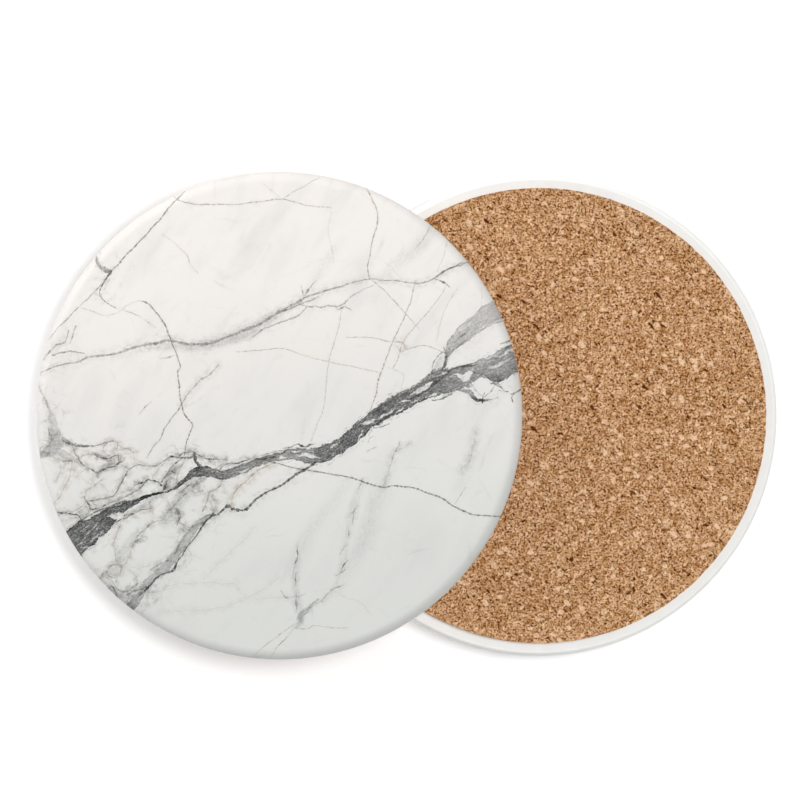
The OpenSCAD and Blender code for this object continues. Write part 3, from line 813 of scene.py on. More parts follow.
# %% Draw the hairlines
HAIRS = {
    "corner_down": (0.6, 0.0, 0.3, 0.17, [
        (-18.8, 48.1, 0.1), (-20.9, 45.7), (-22.3, 44.2), (-24.8, 41.1, 0.18), (-27.3, 38.3, 0.19),
        (-30.5, 35, 0.2), (-33, 32.3, 0.2), (-35.1, 30), (-36.7, 27.7, 0.19), (-37.4, 25.8, 0.15),
        (-36.7, 24.3, 0.13), (-35.3, 23.3, 0.13), (-34, 22.7, 0.1),
    ]),
    "corner_left": (0.45, 0.1, 0.3, 0.1, [
        (-37, 27.5), (-39.7, 24.7, 0.15), (-41.8, 22.9, 0.13), (-44.1, 20.4, 0.15), (-46.6, 18, 0.13),
        (-48.6, 15.6),
    ]),
    "corner_dots": (0.4, 0.5, 0.5, 0.06, [
        (-34, 22.7), (-32.6, 22.1, 0.1), (-30.9, 21.6, 0.17), (-29.2, 20.9, 0.08), (-27.6, 19.8, 0.13),
        (-25.9, 18.7),
    ]),
    "left_dots": (0.3, 0.4, 0.5, 0.08, [
        (-41.8, 22.9), (-39, 21.8, 0.13), (-36.5, 21, 0.1), (-33.8, 21.5), (-31.7, 23.1),
        (-29.2, 24.1, 0.1),
    ]),
    "middle_down": (0.62, 0.0, 0.4, 0.17, [
        (-29, 24.1, 0.1), (-27.3, 23.5), (-25.7, 21.8, 0.19), (-23.8, 19.2, 0.2), (-22.8, 16.6, 0.19),
        (-22.2, 14.9), (-21.3, 12.9), (-20.5, 10.3, 0.15), (-21, 9, 0.15), (-20.7, 6.2), (-20.3, 3),
        (-19.7, 0.5), (-18, -1.8), (-18.6, -3.9, 0.16), (-19.1, -5.3, 0.15), (-19.6, -7.8, 0.13),
    ]),
    "middle_fork": (0.5, 0.1, 0.3, 0.15, [
        (-20.3, 2.6, 0.13), (-21.1, 0.9), (-22.5, -0.8, 0.16), (-23.8, -2.6, 0.17), (-24.5, -4.6),
        (-25.7, -5.9, 0.08), (-26.7, -7.2), (-27.2, -8.2, 0.1),
    ]),
    "top": (0.4, 0.2, 0.5, 0.13, [
        (-22.1, 46, 0.1), (-21.1, 45.3), (-19.2, 44.6, 0.17), (-16.5, 44.2, 0.19), (-12.5, 44.2),
        (-8.6, 44.2), (-4.6, 44.7), (-1.5, 45.1, 0.15), (1, 45.3, 0.15), (3.1, 44.7), (6.9, 43.8, 0.1),
        (10.4, 43.5, 0.08),
    ]),
    "top_fork": (0.3, 0.1, 0.5, 0.1, [(1, 45.3), (4.6, 47.5, 0.13), (8.1, 49.4)]),
    "top_left_fork": (0.2, 0.1, 0.5, 0.08, [(-2.5, 48.1, 0.06), (-0.8, 46.7), (0.8, 45.3)]),
    "brown_down": (0.45, 0.0, 0.9, 0.15, [
        (18.6, 47.5, 0.13), (19.8, 45, 0.17), (20.8, 42.6, 0.19), (20.8, 39.9, 0.19), (20, 37, 0.18),
        (19.4, 34.2), (18.8, 31, 0.17), (19.3, 28.7),
    ]),
    "brown_diag": (0.38, 0.0, 0.9, 0.1, [
        (19.5, 28.6), (23.2, 25.2, 0.15), (26.3, 21.8, 0.15), (29, 18.7),
    ]),
    "steep_a": (0.45, 0.25, 0.8, 0.17, [
        (28.6, 27.5, 0.1), (27.9, 24, 0.15), (26.9, 21.5), (25.4, 18.4, 0.15), (24, 15.3), (22.7, 12),
        (21.5, 8.7, 0.21), (20.9, 6.6, 0.21), (20.5, 4.3, 0.19), (19.7, 2.1, 0.1),
    ]),
    "steep_b": (0.35, 0.3, 0.8, 0.13, [
        (35.3, 27.2, 0.08), (33.6, 24.3, 0.1), (30.9, 21.1), (28.2, 18), (26.1, 15.1, 0.15),
        (25.2, 12, 0.15), (24.2, 10.1),
    ]),
    "steep_c": (0.25, 0.2, 0.8, 0.08, [(37.2, 26), (35.3, 22.9, 0.1), (34.2, 19.7, 0.1), (33.3, 16.1)]),
    "down_a": (0.28, 0.1, 0.7, 0.13, [
        (13.2, 21.6, 0.1), (12.5, 17.4), (11.1, 12.9), (10.4, 8.9), (10, 4.8), (9.6, 1.6, 0.1),
        (8.1, -2.4, 0.1), (7.1, -5.1, 0.08),
    ]),
    "cross_a": (0.4, 0.1, 0.8, 0.13, [
        (15, 16.4, 0.08), (18, 16.4, 0.1), (20.5, 16.2, 0.15), (22.7, 15.6), (25.9, 15.2), (26.7, 13.9),
        (28.6, 14.4), (30.4, 14.7, 0.15), (32.6, 14.1, 0.1), (34.7, 13.3, 0.1),
    ]),
    "cross_b": (0.35, 0.1, 0.7, 0.1, [
        (-8.1, 13.4), (-3.5, 13.7, 0.13), (0, 14.1, 0.13), (3.1, 13.6), (5.4, 12.6, 0.08), (10.9, 11.2),
        (15.9, 10.2), (20.9, 9.1, 0.08),
    ]),
    "cross_c": (0.2, 0.1, 0.8, 0.08, [(23.6, 9.9), (26.3, 8.7, 0.1), (25.9, 5.9)]),
    "crack": (0.62, 0.0, 0.3, 0.21, [
        (-2.1, -9.5, 0.1), (0, -10, 0.15), (2.9, -10.8, 0.17), (6.7, -11.4, 0.19), (10.4, -12, 0.19),
        (14.2, -12.7, 0.19), (17.1, -13.5), (20.1, -14.5), (22.3, -14.9), (24.6, -14.6, 0.19),
        (29, -15.2), (30.9, -16), (34.2, -17.1), (36.5, -18.6), (39.1, -20), (41.8, -20.7, 0.19),
        (46.2, -20.9, 0.19), (48.4, -21, 0.17),
    ]),
    "dark_tick": (0.65, 0.0, 0.3, 0.13, [(33.4, 28.4), (34.7, 27.8, 0.27), (35.5, 27.2)]),
    "dark_tick_b": (0.6, 0.0, 0.3, 0.13, [(33.6, 29.3), (35.5, 30.5, 0.23), (38, 31.6, 0.15)]),
    "curl": (0.3, 0.2, 0.5, 0.06, [
        (-23.8, 37.7), (-21.3, 35.8), (-19, 33.5, 0.15), (-18.4, 31.8, 0.08), (-17.1, 30.2),
    ]),
    "tick_a": (0.35, 0.0, 0.4, 0.08, [(-26.9, 2.6), (-27.8, 1.8, 0.17), (-28.6, 0.9)]),
    "tick_b": (0.35, 0.0, 0.4, 0.08, [(-24, 12, 0.1), (-23, 12.2, 0.19), (-21.7, 12.6)]),
    "low_a": (0.35, 0.5, 0.4, 0.13, [
        (-5.4, -50.6, 0.1), (-3.1, -48.3), (-0.8, -46.6, 0.15), (1.7, -44.8), (4.2, -43.1, 0.08),
    ]),
    "low_b": (0.4, 0.5, 0.4, 0.06, [
        (-1.7, -50.6, 0.08), (-0.7, -49.2, 0.1), (0.4, -47.7, 0.15), (1.7, -46.5, 0.17), (2.9, -45),
    ]),
    "beige_up": (0.18, 0.3, 1.0, 0.08, [
        (11.1, 41.9, 0.1), (10.6, 38.9), (11.3, 34.8, 0.13), (11.7, 32.5),
    ]),
    "right_line": (0.2, 0.1, 0.8, 0.06, [(42.6, 26), (42.7, 23.9, 0.08), (42.6, 21.4)]),
    "steep_d": (0.22, 0.2, 1.0, 0.08, [(35.5, 36.8), (34.7, 33.3, 0.13), (33.6, 30.6, 0.1)]),
    "steep_e": (0.3, 0.2, 0.9, 0.08, [(31.9, 39.8), (30.7, 37.3, 0.15), (29.2, 35.2, 0.1)]),
    "grey_slant": (0.25, 0.2, 0.4, 0.08, [(39, -15.3), (38.2, -16.6, 0.13), (37.2, -18.1)]),
    "isle_line": (0.4, 0.1, 0.3, 0.15, [(45.3, 6.4), (44.8, 5.4), (43.8, 4.5), (43.1, 3.9)]),
    "isle_stub": (0.8, 0.0, 0.0, 0.13, [(43.1, 4.3), (42.9, 3.7, 0.19), (42.8, 3.2, 0.21)]),
    "isle_right": (0.6, 0.1, 0.1, 0.17, [(45.4, 6.6, 0.15), (46, 6.2), (46.7, 5.9), (47.3, 5.2, 0.13)]),
    "isle_far": (0.5, 0.1, 0.1, 0.1, [(46.7, 5.2), (47.6, 5.1, 0.13)]),
    "isle_left": (0.3, 0.3, 0.2, 0.15, [(40.6, 6.4, 0.17), (41.2, 5.5), (42, 4.7), (43, 4.1)]),
    "isle_top": (0.5, 0.1, 0.1, 0.15, [
        (40.4, 10.1), (40.8, 9.2), (41.5, 9), (42.6, 8.8), (43.4, 8.5), (44.4, 7.6),
    ]),
    "isle_dots": (0.7, 0.2, 0.4, 0.13, [(49.2, 4.4), (48.9, 3.9, 0.19), (49, 3.4, 0.15)]),
    "edge_spot": (0.6, 0.0, 0.1, 0.21, [(47.1, 15.1), (47.6, 15.3, 0.38), (48.2, 15.6)]),
    "edge_spot_low": (0.5, 0.5, 0.2, 0.15, [(47.2, 14.2), (47.8, 14.4, 0.19), (48.4, 14.6)]),
    "knot_dash": (0.9, 0.0, 0.1, 0.1, [(1.6, -6.7), (2.1, -6.6, 0.19), (2.6, -6.5)]),
    "knot_crest": (0.85, 0.2, 0.1, 0.27, [
        (3.7, -6, 0.13), (4.3, -5.9, 0.21), (4.8, -6.2, 0.25), (5.5, -6.4), (6.2, -6.4),
        (6.6, -6.1, 0.29), (7.1, -6, 0.15),
    ]),
    "knot_low": (0.85, 0.1, 0.1, 0.1, [(0.1, -8), (0.7, -7.9, 0.17), (1.4, -7.5, 0.13)]),
    "knot_dots": (0.8, 0.4, 0.1, 0.17, [(3.2, -7.8), (3.8, -7.9), (4.4, -7.7, 0.15)]),
    "rust_spot": (0.25, 0.0, 0.7, 0.17, [(19.1, -5.1, 0.19), (19.3, -4.6, 0.33), (19.6, -4.4)]),
    "rust_spot_low": (0.25, 0.0, 0.7, 0.1, [(19.1, -7.2, 0.19), (19.5, -7, 0.23), (20.3, -6.7)]),
    "steep_dash": (0.4, 0.1, 0.5, 0.1, [(25.3, -6, 0.15), (25, -6.7, 0.17), (24.6, -7.4), (24.1, -8.7)]),
    "patch_arm": (0.28, 0.15, 0.3, 0.13, [
        (12.5, -35.8, 0.1), (10.9, -36.7), (9.9, -37.7, 0.21), (9.2, -38.5, 0.17), (8.2, -39.2),
    ]),
    "low_tick": (0.32, 0, 0.3, 0.1, [
        (0.9, -37.1, 0.19), (1.3, -37.7, 0.27), (1.9, -38, 0.17), (3, -37.8), (4.4, -37.7), (5.3, -37.4),
    ]),
    "low_c": (0.24, 0.2, 0.6, 0.1, [
        (3.9, -44.4), (5.2, -44.5, 0.15), (6.5, -44.3, 0.17), (7.5, -43.8, 0.13), (8.6, -43.8),
        (10.4, -44.1), (12.1, -44.3, 0.15), (14.2, -44.2, 0.08),
    ]),
    "low_d": (0.12, 0.2, 0.7, 0.1, [
        (12.5, -37.1), (14.4, -38), (16.1, -38.4), (17.5, -39.1, 0.13), (18.5, -40.2, 0.13),
        (19.4, -41.3, 0.08),
    ]),
    "long_strand": (0.5, 0.1, 0.1, 0.15, [
        (0.4, 21.5), (2.1, 22.2, 0.21), (3.3, 22.8, 0.19), (4.8, 23.4, 0.19), (5.8, 23.8),
        (6.9, 24, 0.13), (7.9, 24.6, 0.1),
    ]),
    "long_fork": (0.38, 0.1, 0.2, 0.17, [(5.4, 24.6), (5.3, 25.7), (5.1, 26.5, 0.1)]),
    "long_fork_right": (0.46, 0.1, 0.1, 0.08, [
        (5.7, 25, 0.19), (6.3, 26.1, 0.23), (6.8, 26.8, 0.15), (7.5, 27.7),
    ]),
    "long_knot": (0.4, 0.1, 0.2, 0.23, [
        (12.3, 22.7, 0.13), (12.7, 22.3), (13.5, 22.6), (14.1, 22.8, 0.19), (14.8, 22.4, 0.15),
    ]),
    "long_branch": (0.3, 0.1, 0.5, 0.19, [
        (13.2, 23.2, 0.13), (14.2, 23.8), (15.1, 24.6, 0.21), (16.1, 25.3), (17, 25.8, 0.15),
        (18, 26.4, 0.1), (19.6, 27, 0.08),
    ]),
}
print("hairlines:", len(HAIRS))

# %% [markdown]
# The web
#
# Beside the bands the stone is crazed into cells. Their walls are drawn as the hairlines are,
# with the same values in a row, but in a layer of their own, because each of them has a wide
# soft halo.

# %% Draw the web
WEB = {
    "left_cell_rim": (0.55, 0.5, 0.5, 0.19, [(-49.7, -6.8), (-48.6, -5.9), (-48, -4.5), (-48.2, -3.2)]),
    "left_spur": (0.6, 0.4, 0.3, 0.21, [(-50.7, -7.4), (-49.9, -7.7), (-48.9, -7.8)]),
    "ellipse": (0.5, 0.35, 0.6, 0.13, [
        (-36.7, -7.4), (-36.4, -6.2), (-35.5, -5.5), (-34.3, -5.4), (-33.6, -6.1), (-33.9, -7.2),
        (-34.8, -7.9), (-35.9, -8.1), (-36.7, -7.4),
    ]),
    "rope": (0.75, 0.4, 0.3, 0.21, [
        (-43.6, -6.1, 0.17), (-42.9, -6.8, 0.17), (-42.7, -7.9, 0.17), (-42, -8.6, 0.17), (-41.8, -9.3),
        (-41.1, -10.2), (-40.1, -10.9), (-39.2, -11.2), (-38.3, -11.8), (-38, -12.5),
    ]),
    "rope_cell": (0.5, 0.4, 0.5, 0.15, [(-41.8, -9.3), (-41.1, -8.3), (-39.7, -8.1), (-38.5, -8.3)]),
    "patch_low": (0.65, 0.55, 0.4, 0.21, [
        (-48, -8.1, 0.15), (-46.9, -8.9), (-45.9, -9.3), (-45.2, -9.6), (-43.8, -9.5),
    ]),
    "shore": (0.45, 0.5, 0.6, 0.13, [(-46.9, -8.8), (-45.9, -10), (-45.7, -11.4), (-46.3, -12.8)]),
    "long_fall": (0.45, 0.35, 0.9, 0.13, [
        (-43.2, -10.2), (-43.6, -12), (-44.3, -13.9), (-45.2, -15.5), (-45.9, -16.9), (-47.3, -18.3),
    ]),
    "short_fall": (0.35, 0.5, 0.9, 0.1, [(-42.2, -10.4), (-42.7, -12)]),
    "mid_fall": (0.4, 0.4, 0.8, 0.1, [(-38.7, -12), (-39.2, -13.7), (-39.7, -15.1), (-40.6, -16.9)]),
    "mid_arm": (0.55, 0.35, 0.6, 0.13, [(-37.4, -13.7), (-38.5, -14.6), (-39.7, -15.3), (-40.4, -16.2)]),
    "mid_arm_tail": (0.3, 0.4, 0.8, 0.1, [(-37.4, -13.9), (-35.9, -15.5)]),
    "knot": (0.9, 0.3, 0.2, 0.21, [
        (-40.6, -17.2, 0.19), (-40.4, -17.7, 0.23), (-39.7, -18.8, 0.23), (-39.5, -19.5), (-38.3, -19.5),
    ]),
    "knot_arm": (0.75, 0.35, 0.3, 0.19, [
        (-40.4, -17.7, 0.17), (-38.7, -17.8), (-37.4, -17.4), (-35.9, -17.2), (-34.8, -16.9),
    ]),
    "knot_tail": (0.5, 0.4, 0.5, 0.17, [
        (-40.6, -18.3), (-41.5, -19.2), (-42.9, -19.9), (-44.1, -20.1), (-45.5, -20.1),
    ]),
    "edge_dark": (1.0, 0.2, 0.1, 0.19, [
        (-46.9, -20.3, 0.17), (-45.5, -20.3), (-44.1, -20.4), (-42.4, -20.6, 0.21), (-41.6, -21.1, 0.23),
        (-41.3, -21.7, 0.23),
    ]),
    "small_cell": (0.6, 0.4, 0.4, 0.15, [
        (-41.3, -19.7), (-40.4, -19), (-39.9, -19.7), (-39.8, -20.4), (-40.8, -21.1),
    ]),
    "oval_cell": (0.55, 0.4, 0.4, 0.13, [
        (-39, -18.3), (-38.5, -17.8), (-37.1, -17.5), (-35.5, -17.6), (-35.3, -18.3), (-36.4, -18.7),
        (-37.8, -18.8), (-39, -18.3),
    ]),
    "edge_pale": (0.4, 0.5, 0.5, 0.13, [(-45.5, -22.2), (-44.3, -21.8), (-42.9, -21.3), (-41.8, -21.2)]),
    "edge_tip": (0.5, 0.5, 0.4, 0.13, [(-42.9, -23.4), (-42, -22.7), (-41.5, -21.8)]),
    "low_web_right": (0.4, 0.4, 0.7, 0.17, [
        (-30.7, -27.6), (-31.3, -29.7), (-32.3, -31.1), (-33.2, -31.1), (-33.9, -30.8),
    ]),
    "low_web_left": (0.45, 0.4, 0.7, 0.19, [(-34.3, -27.8), (-34.1, -29), (-33.9, -30.4)]),
    "blue_cell": (0.55, 0.35, 0.5, 0.15, [
        (-35.9, -32.5), (-35, -31.5), (-33.9, -31.1), (-32.9, -31.3), (-32.8, -32.2), (-33.4, -33.4),
        (-34.3, -33.9), (-35.5, -33.4), (-35.9, -32.5),
    ]),
    "blue_tail": (0.7, 0.4, 0.7, 0.17, [(-35.9, -32.5), (-36.7, -32.8), (-37.1, -33.6), (-37.7, -34.3)]),
    "blue_arm": (0.4, 0.5, 0.7, 0.1, [(-38.3, -32.1), (-37.4, -32.5), (-36.2, -32.6)]),
    "blue_foot": (0.5, 0.4, 0.5, 0.15, [(-35.5, -34.1), (-34.6, -34.8), (-34.2, -35.7), (-33.9, -36.2)]),
    "big_cell": (0.55, 0.35, 0.5, 0.19, [
        (-33.4, -33.6, 0.13), (-34.1, -35.2, 0.13), (-33.9, -36.2, 0.13), (-32.7, -36.8), (-31.3, -36.5),
        (-30.2, -35.7), (-29.6, -35.2),
    ]),
    "big_cell_top": (0.35, 0.4, 0.7, 0.1, [
        (-32.3, -31.8), (-31.1, -32.5), (-29.9, -33.4), (-29.6, -34.3), (-29.7, -35.2),
    ]),
    "cell_far": (0.25, 0.4, 0.8, 0.1, [(-31.5, -31.5), (-29.5, -31.8), (-27.1, -31.5)]),
    "corner_specks": (0.85, 0.3, 0.2, 0.21, [(-35.6, -36.2, 0.19), (-34.8, -35.9), (-34.1, -37.1)]),
    "corner_hair": (0.3, 0.4, 0.7, 0.1, [(-27.1, -36.2), (-27.4, -38.3), (-27.8, -40.1), (-28.8, -41.7)]),
    "second_hair": (0.8, 0.35, 0.2, 0.13, [
        (-31.1, -37.1), (-29.9, -36.6), (-28.8, -36.2), (-28.1, -35.9),
    ]),
    "second_low": (0.55, 0.4, 0.4, 0.15, [(-31.5, -38.7), (-30.6, -37.8), (-29.2, -37.1)]),
    "pool_dashes": (0.85, 0.4, 0.2, 0.17, [
        (-11.8, -10.9), (-10.9, -10.2), (-9.5, -10), (-8.1, -9.9), (-7, -9.5),
    ]),
    "pool_tick": (0.9, 0.2, 0.1, 0.23, [(-4, -9, 0.21), (-3, -9.1), (-2.3, -8.9), (-1.2, -8.6)]),
    "under_hook": (0.5, 0.4, 0.4, 0.15, [(-18.8, -15.1), (-18.3, -15.5), (-17.2, -16), (-16.2, -15.8)]),
    "under_drop": (0.5, 0.3, 0.5, 0.21, [
        (-11.8, -13.7), (-12.1, -14.6), (-12.8, -15.3), (-14.2, -16), (-14.6, -17.2), (-15.1, -18.3),
        (-15.6, -19.5),
    ]),
    "under_dots": (0.75, 0.6, 0.4, 0.17, [
        (-13.5, -17.2), (-13.2, -18.3), (-13.4, -19.5), (-13.6, -20.4),
    ]),
    "brown_run": (0.6, 0.4, 1.0, 0.19, [
        (-9.7, -18.3, 0.13), (-9.5, -16.9), (-8.6, -15.5), (-7.7, -14.6), (-6.7, -13.7), (-5.6, -12.5),
        (-4.6, -11.8), (-2.3, -10.6), (-0.9, -10),
    ]),
    "brown_side": (0.4, 0.5, 1.0, 0.1, [(-8.1, -15.8), (-6.7, -14.4), (-5.6, -13.4)]),
    "under_faint": (0.3, 0.4, 0.7, 0.1, [(-11.4, -14.8), (-10.9, -16.2), (-9.7, -16.9)]),
    "bank": (0.6, 0.5, 0.4, 0.23, [
        (-20, -24.1, 0.17), (-19.7, -25.3, 0.17), (-20.4, -26.4, 0.17), (-20.9, -27.1), (-21.3, -28.5),
        (-22, -29.7), (-23.4, -30.4), (-25.1, -31.1), (-26.2, -32),
    ]),
    "faint_slope": (0.16, 0.3, 0.9, 0.1, [
        (-5.1, -23.7), (-6.7, -25.5), (-9, -27.6), (-11.6, -30.1), (-13.5, -32), (-15.3, -33.6),
    ]),
    "faint_level": (0.16, 0.3, 0.6, 0.1, [
        (-26, -36.6), (-23.7, -35.9), (-20.9, -35.2), (-18.1, -35.1), (-15.1, -34.9), (-11.6, -35),
        (-9, -35.1),
    ]),
    "faint_hook": (0.14, 0.3, 0.7, 0.1, [(-8.8, -35), (-7.9, -36.6)]),
    "faint_low": (0.15, 0.3, 0.6, 0.1, [
        (-24.4, -41.2), (-19.7, -40.8), (-15.1, -40.6), (-11.6, -40.1), (-9, -39.2), (-3.5, -36.4),
        (0, -34.1),
    ]),
    "faint_right": (0.16, 0.3, 0.6, 0.1, [(-4, -38.3), (-2.1, -38), (1.1, -37.8)]),
    "crest": (0.85, 0.2, 0.1, 0.13, [
        (-23.4, -9.1), (-22.5, -8.5, 0.19), (-21.8, -8.4, 0.19), (-20.9, -8.6, 0.15), (-20.3, -8.2, 0.17),
        (-19.6, -7.7), (-18.7, -7.6), (-17.7, -7.7, 0.19),
    ]),
    "crest_line": (0.9, 0.35, 0.2, 0.13, [
        (-17.5, -7.8), (-16.7, -8.3), (-15.7, -8.7, 0.15), (-14.9, -9, 0.19), (-14, -9.1), (-12.7, -9.2),
        (-11.3, -9.1, 0.1),
    ]),
    "notch_high": (0.75, 0.2, 0.1, 0.17, [
        (-20.3, -9, 0.13), (-21.4, -9.9), (-22.2, -10.6, 0.19), (-22.7, -11.2), (-23.3, -12.1, 0.19),
        (-23.7, -12.8, 0.21), (-24.2, -13.5, 0.25),
    ]),
    "notch_low": (0.95, 0.0, 0.0, 0.19, [
        (-24.7, -14.3, 0.27), (-25.1, -13.8, 0.25), (-25.6, -13.6), (-26.5, -13.5), (-27.2, -13.4, 0.21),
        (-27.8, -13.8, 0.21), (-28.3, -14.3), (-29, -15.1, 0.15), (-29.7, -15.8, 0.13),
        (-30.5, -16.1, 0.08),
    ]),
    "notch_dash": (0.9, 0.0, 0.1, 0.1, [
        (-30, -14.4), (-29.3, -14.2, 0.21), (-28.7, -14.1, 0.21), (-28.3, -13.9),
    ]),
    "leaf": (0.6, 0.4, 0.2, 0.1, [
        (-32.3, -15.9), (-31.6, -15.7, 0.25), (-30.9, -15.5, 0.19), (-30.4, -15),
    ]),
    "over_band": (0.6, 0.2, 0.2, 0.17, [
        (-37.6, -19.5, 0.15), (-36, -18.5, 0.19), (-34.4, -18), (-32.4, -17.1), (-30.8, -16.4),
        (-29.4, -15.7, 0.13),
    ]),
    "over_band_b": (0.4, 0.4, 0.2, 0.1, [
        (-37, -19.9), (-35.1, -18.8, 0.15), (-33, -18, 0.13), (-30.7, -17.1),
    ]),
    "flat": (0.6, 0.2, 0.4, 0.15, [
        (-37.6, -17.3, 0.13), (-36, -17.3), (-34.7, -17.1), (-33.9, -16.5, 0.1),
    ]),
    "grey_fall": (0.75, 0.2, 0.3, 0.21, [
        (-31.4, -11.1), (-31.8, -12.1, 0.19), (-32.6, -13.5), (-33.4, -15, 0.19), (-34.1, -16.2),
        (-34.7, -16.9, 0.13),
    ]),
    "link": (0.62, 0.35, 0.4, 0.17, [
        (-33, -9.9, 0.13), (-32.2, -10.5, 0.15), (-31.3, -11.1, 0.25), (-30.6, -10.8, 0.19), (-30, -10.4),
        (-29.2, -10.3, 0.21), (-28.2, -10.4, 0.19), (-27.1, -10.5), (-26.1, -10.5, 0.19),
        (-25.5, -10.5, 0.31), (-24.8, -10.1), (-24, -9.5, 0.15), (-23.4, -9, 0.13),
    ]),
    "cell_stem": (0.4, 0.3, 0.6, 0.1, [
        (-30.4, -7.6), (-30.4, -8.1), (-30.3, -9), (-29.7, -9.9), (-29.2, -10.2),
    ]),
    "cell_roof": (0.5, 0.4, 0.6, 0.1, [
        (-34.2, -5.4), (-33.4, -6.2), (-32.3, -6.8, 0.17), (-31.3, -7, 0.13), (-30.4, -7.6, 0.13),
    ]),
    "patch_top": (0.8, 0.2, 0.2, 0.17, [
        (-37.8, -8.6, 0.13), (-36.5, -8.9), (-35.5, -8.8), (-34.7, -8.5, 0.15), (-33.7, -8.2),
        (-33.4, -9.1), (-33.3, -9.6),
    ]),
    "patch_foot": (0.95, 0.25, 0.2, 0.13, [
        (-37.8, -11.7), (-37.1, -11.5), (-36, -11, 0.19), (-35, -10.7, 0.21), (-34.2, -10.4, 0.21),
        (-33.3, -9.8, 0.21), (-32.8, -9.6),
    ]),
    "cell_side": (0.35, 0.3, 0.5, 0.13, [(-23.4, -9.4), (-24.5, -10.6), (-25.6, -11.9), (-26.3, -13.2)]),
    "cell_side_right": (0.45, 0.3, 0.3, 0.15, [
        (-19.6, -9.2, 0.13), (-20.3, -10.8, 0.17), (-20.9, -12.1), (-21.2, -13.3),
    ]),
    "specks": (0.8, 0.3, 0.3, 0.1, [
        (-23, -12.2), (-22.6, -11.5, 0.17), (-21.9, -11.7, 0.21), (-21.4, -12, 0.15),
    ]),
    "specks_low": (0.5, 0.4, 0.3, 0.13, [
        (-23.1, -13.5), (-22.5, -13, 0.15), (-21.8, -13.3), (-21.2, -14, 0.15),
    ]),
    "wedge": (0.8, 0.3, 0.1, 0.19, [
        (-23.4, -13.8), (-23.6, -14.4, 0.31), (-23.9, -15.1, 0.31), (-24.2, -15.7),
    ]),
    "lower_lip": (0.75, 0.2, 0.4, 0.13, [
        (-31.8, -20.9, 0.21), (-31.1, -20.8, 0.29), (-30.5, -20.6, 0.19), (-29.7, -20.2), (-28.7, -19.7),
        (-27.9, -19.5, 0.15), (-27.1, -19.4, 0.1),
    ]),
    "lower_lip_b": (0.7, 0.15, 0.2, 0.17, [
        (-34.6, -22.4, 0.15), (-33.7, -22.1, 0.19), (-32.9, -21.8, 0.19), (-31.9, -21.5), (-31.2, -21),
    ]),
    "drop": (0.4, 0.3, 0.7, 0.15, [
        (-32.9, -22.2), (-33.1, -23.3), (-33.7, -24.6), (-34.2, -25.8, 0.17), (-34.6, -26.9, 0.17),
        (-34.3, -27.8, 0.17),
    ]),
    "arm": (0.65, 0.25, 0.4, 0.15, [
        (-26.1, -22.3, 0.17), (-27.1, -22.9, 0.19), (-27.9, -23.7), (-29, -24.6, 0.13), (-29.7, -25.5),
        (-30.3, -26.5), (-30.7, -27.6),
    ]),
    "arm_dash": (0.9, 0.1, 0.2, 0.1, [(-28.9, -25.7), (-29.4, -25.9, 0.19), (-30, -26.2)]),
    "under_dark": (0.75, 0.3, 0.2, 0.13, [(-19.9, -15.5), (-19.4, -15.1, 0.19), (-18.7, -14.6, 0.17)]),
    "under_pale": (0.35, 0.4, 0.5, 0.1, [(-18.8, -15.4), (-17.7, -15.8, 0.13), (-16.6, -16)]),
    "ridge_dots": (0.85, 0.35, 0.2, 0.17, [
        (-20.9, -20.3), (-20.5, -21, 0.19), (-20.7, -21.7), (-20.9, -22.3, 0.15),
    ]),
    "shelf": (0.5, 0.3, 0.4, 0.15, [
        (-20.9, -22.3, 0.13), (-19.8, -22.8, 0.13), (-18.6, -23.3), (-17.6, -22.9), (-16.5, -22.5),
    ]),
    "shelf_left": (0.35, 0.4, 0.6, 0.13, [
        (-22.7, -21, 0.25), (-23.5, -21.6, 0.15), (-25.1, -21.9), (-26.1, -22.3),
    ]),
    "ridge": (0.3, 0.4, 0.5, 0.1, [
        (-23.5, -16.8), (-23.1, -17.8, 0.13), (-22.5, -19, 0.15), (-22.4, -20.4, 0.25),
    ]),
    "loop": (0.35, 0.2, 0.7, 0.1, [
        (25.7, 15.4), (26.4, 15.1), (26.8, 14.3), (26.5, 13.7), (25.8, 13.4), (25.3, 14),
    ]),
}
print("walls of the web:", len(WEB))

# %% [markdown]
# Carrying the veins to the face
#
# A material can't look along a list of points, but Geometry Nodes can. This tree smooths each
# row of points into a curve and walks along it in short steps. For every small face of the
# glaze it finds the nearest step of each layer and keeps where that is, which way the line
# runs there, how wide and how dark it is. They are kept on faces, not on points, because a
# value on points is mixed across the face between, and two lines can't be mixed. The material
# then works out the exact distance, so a hairline stays sharp even where it is finer than
# the mesh. The steps of a wide line are held closer to the face than those of a narrow one,
# so that a wide band wins over a thin line beside it.
#
# The lines themselves come in as helper meshes, one to a layer, made of plain edges.

# %% Build the tree that carries the veins
STEP = 0.15
LIFT = 4.0
LAYERS = ("bands", "windows", "veins", "hairs", "web")
PARTS = ("at", "run", "look", "more")


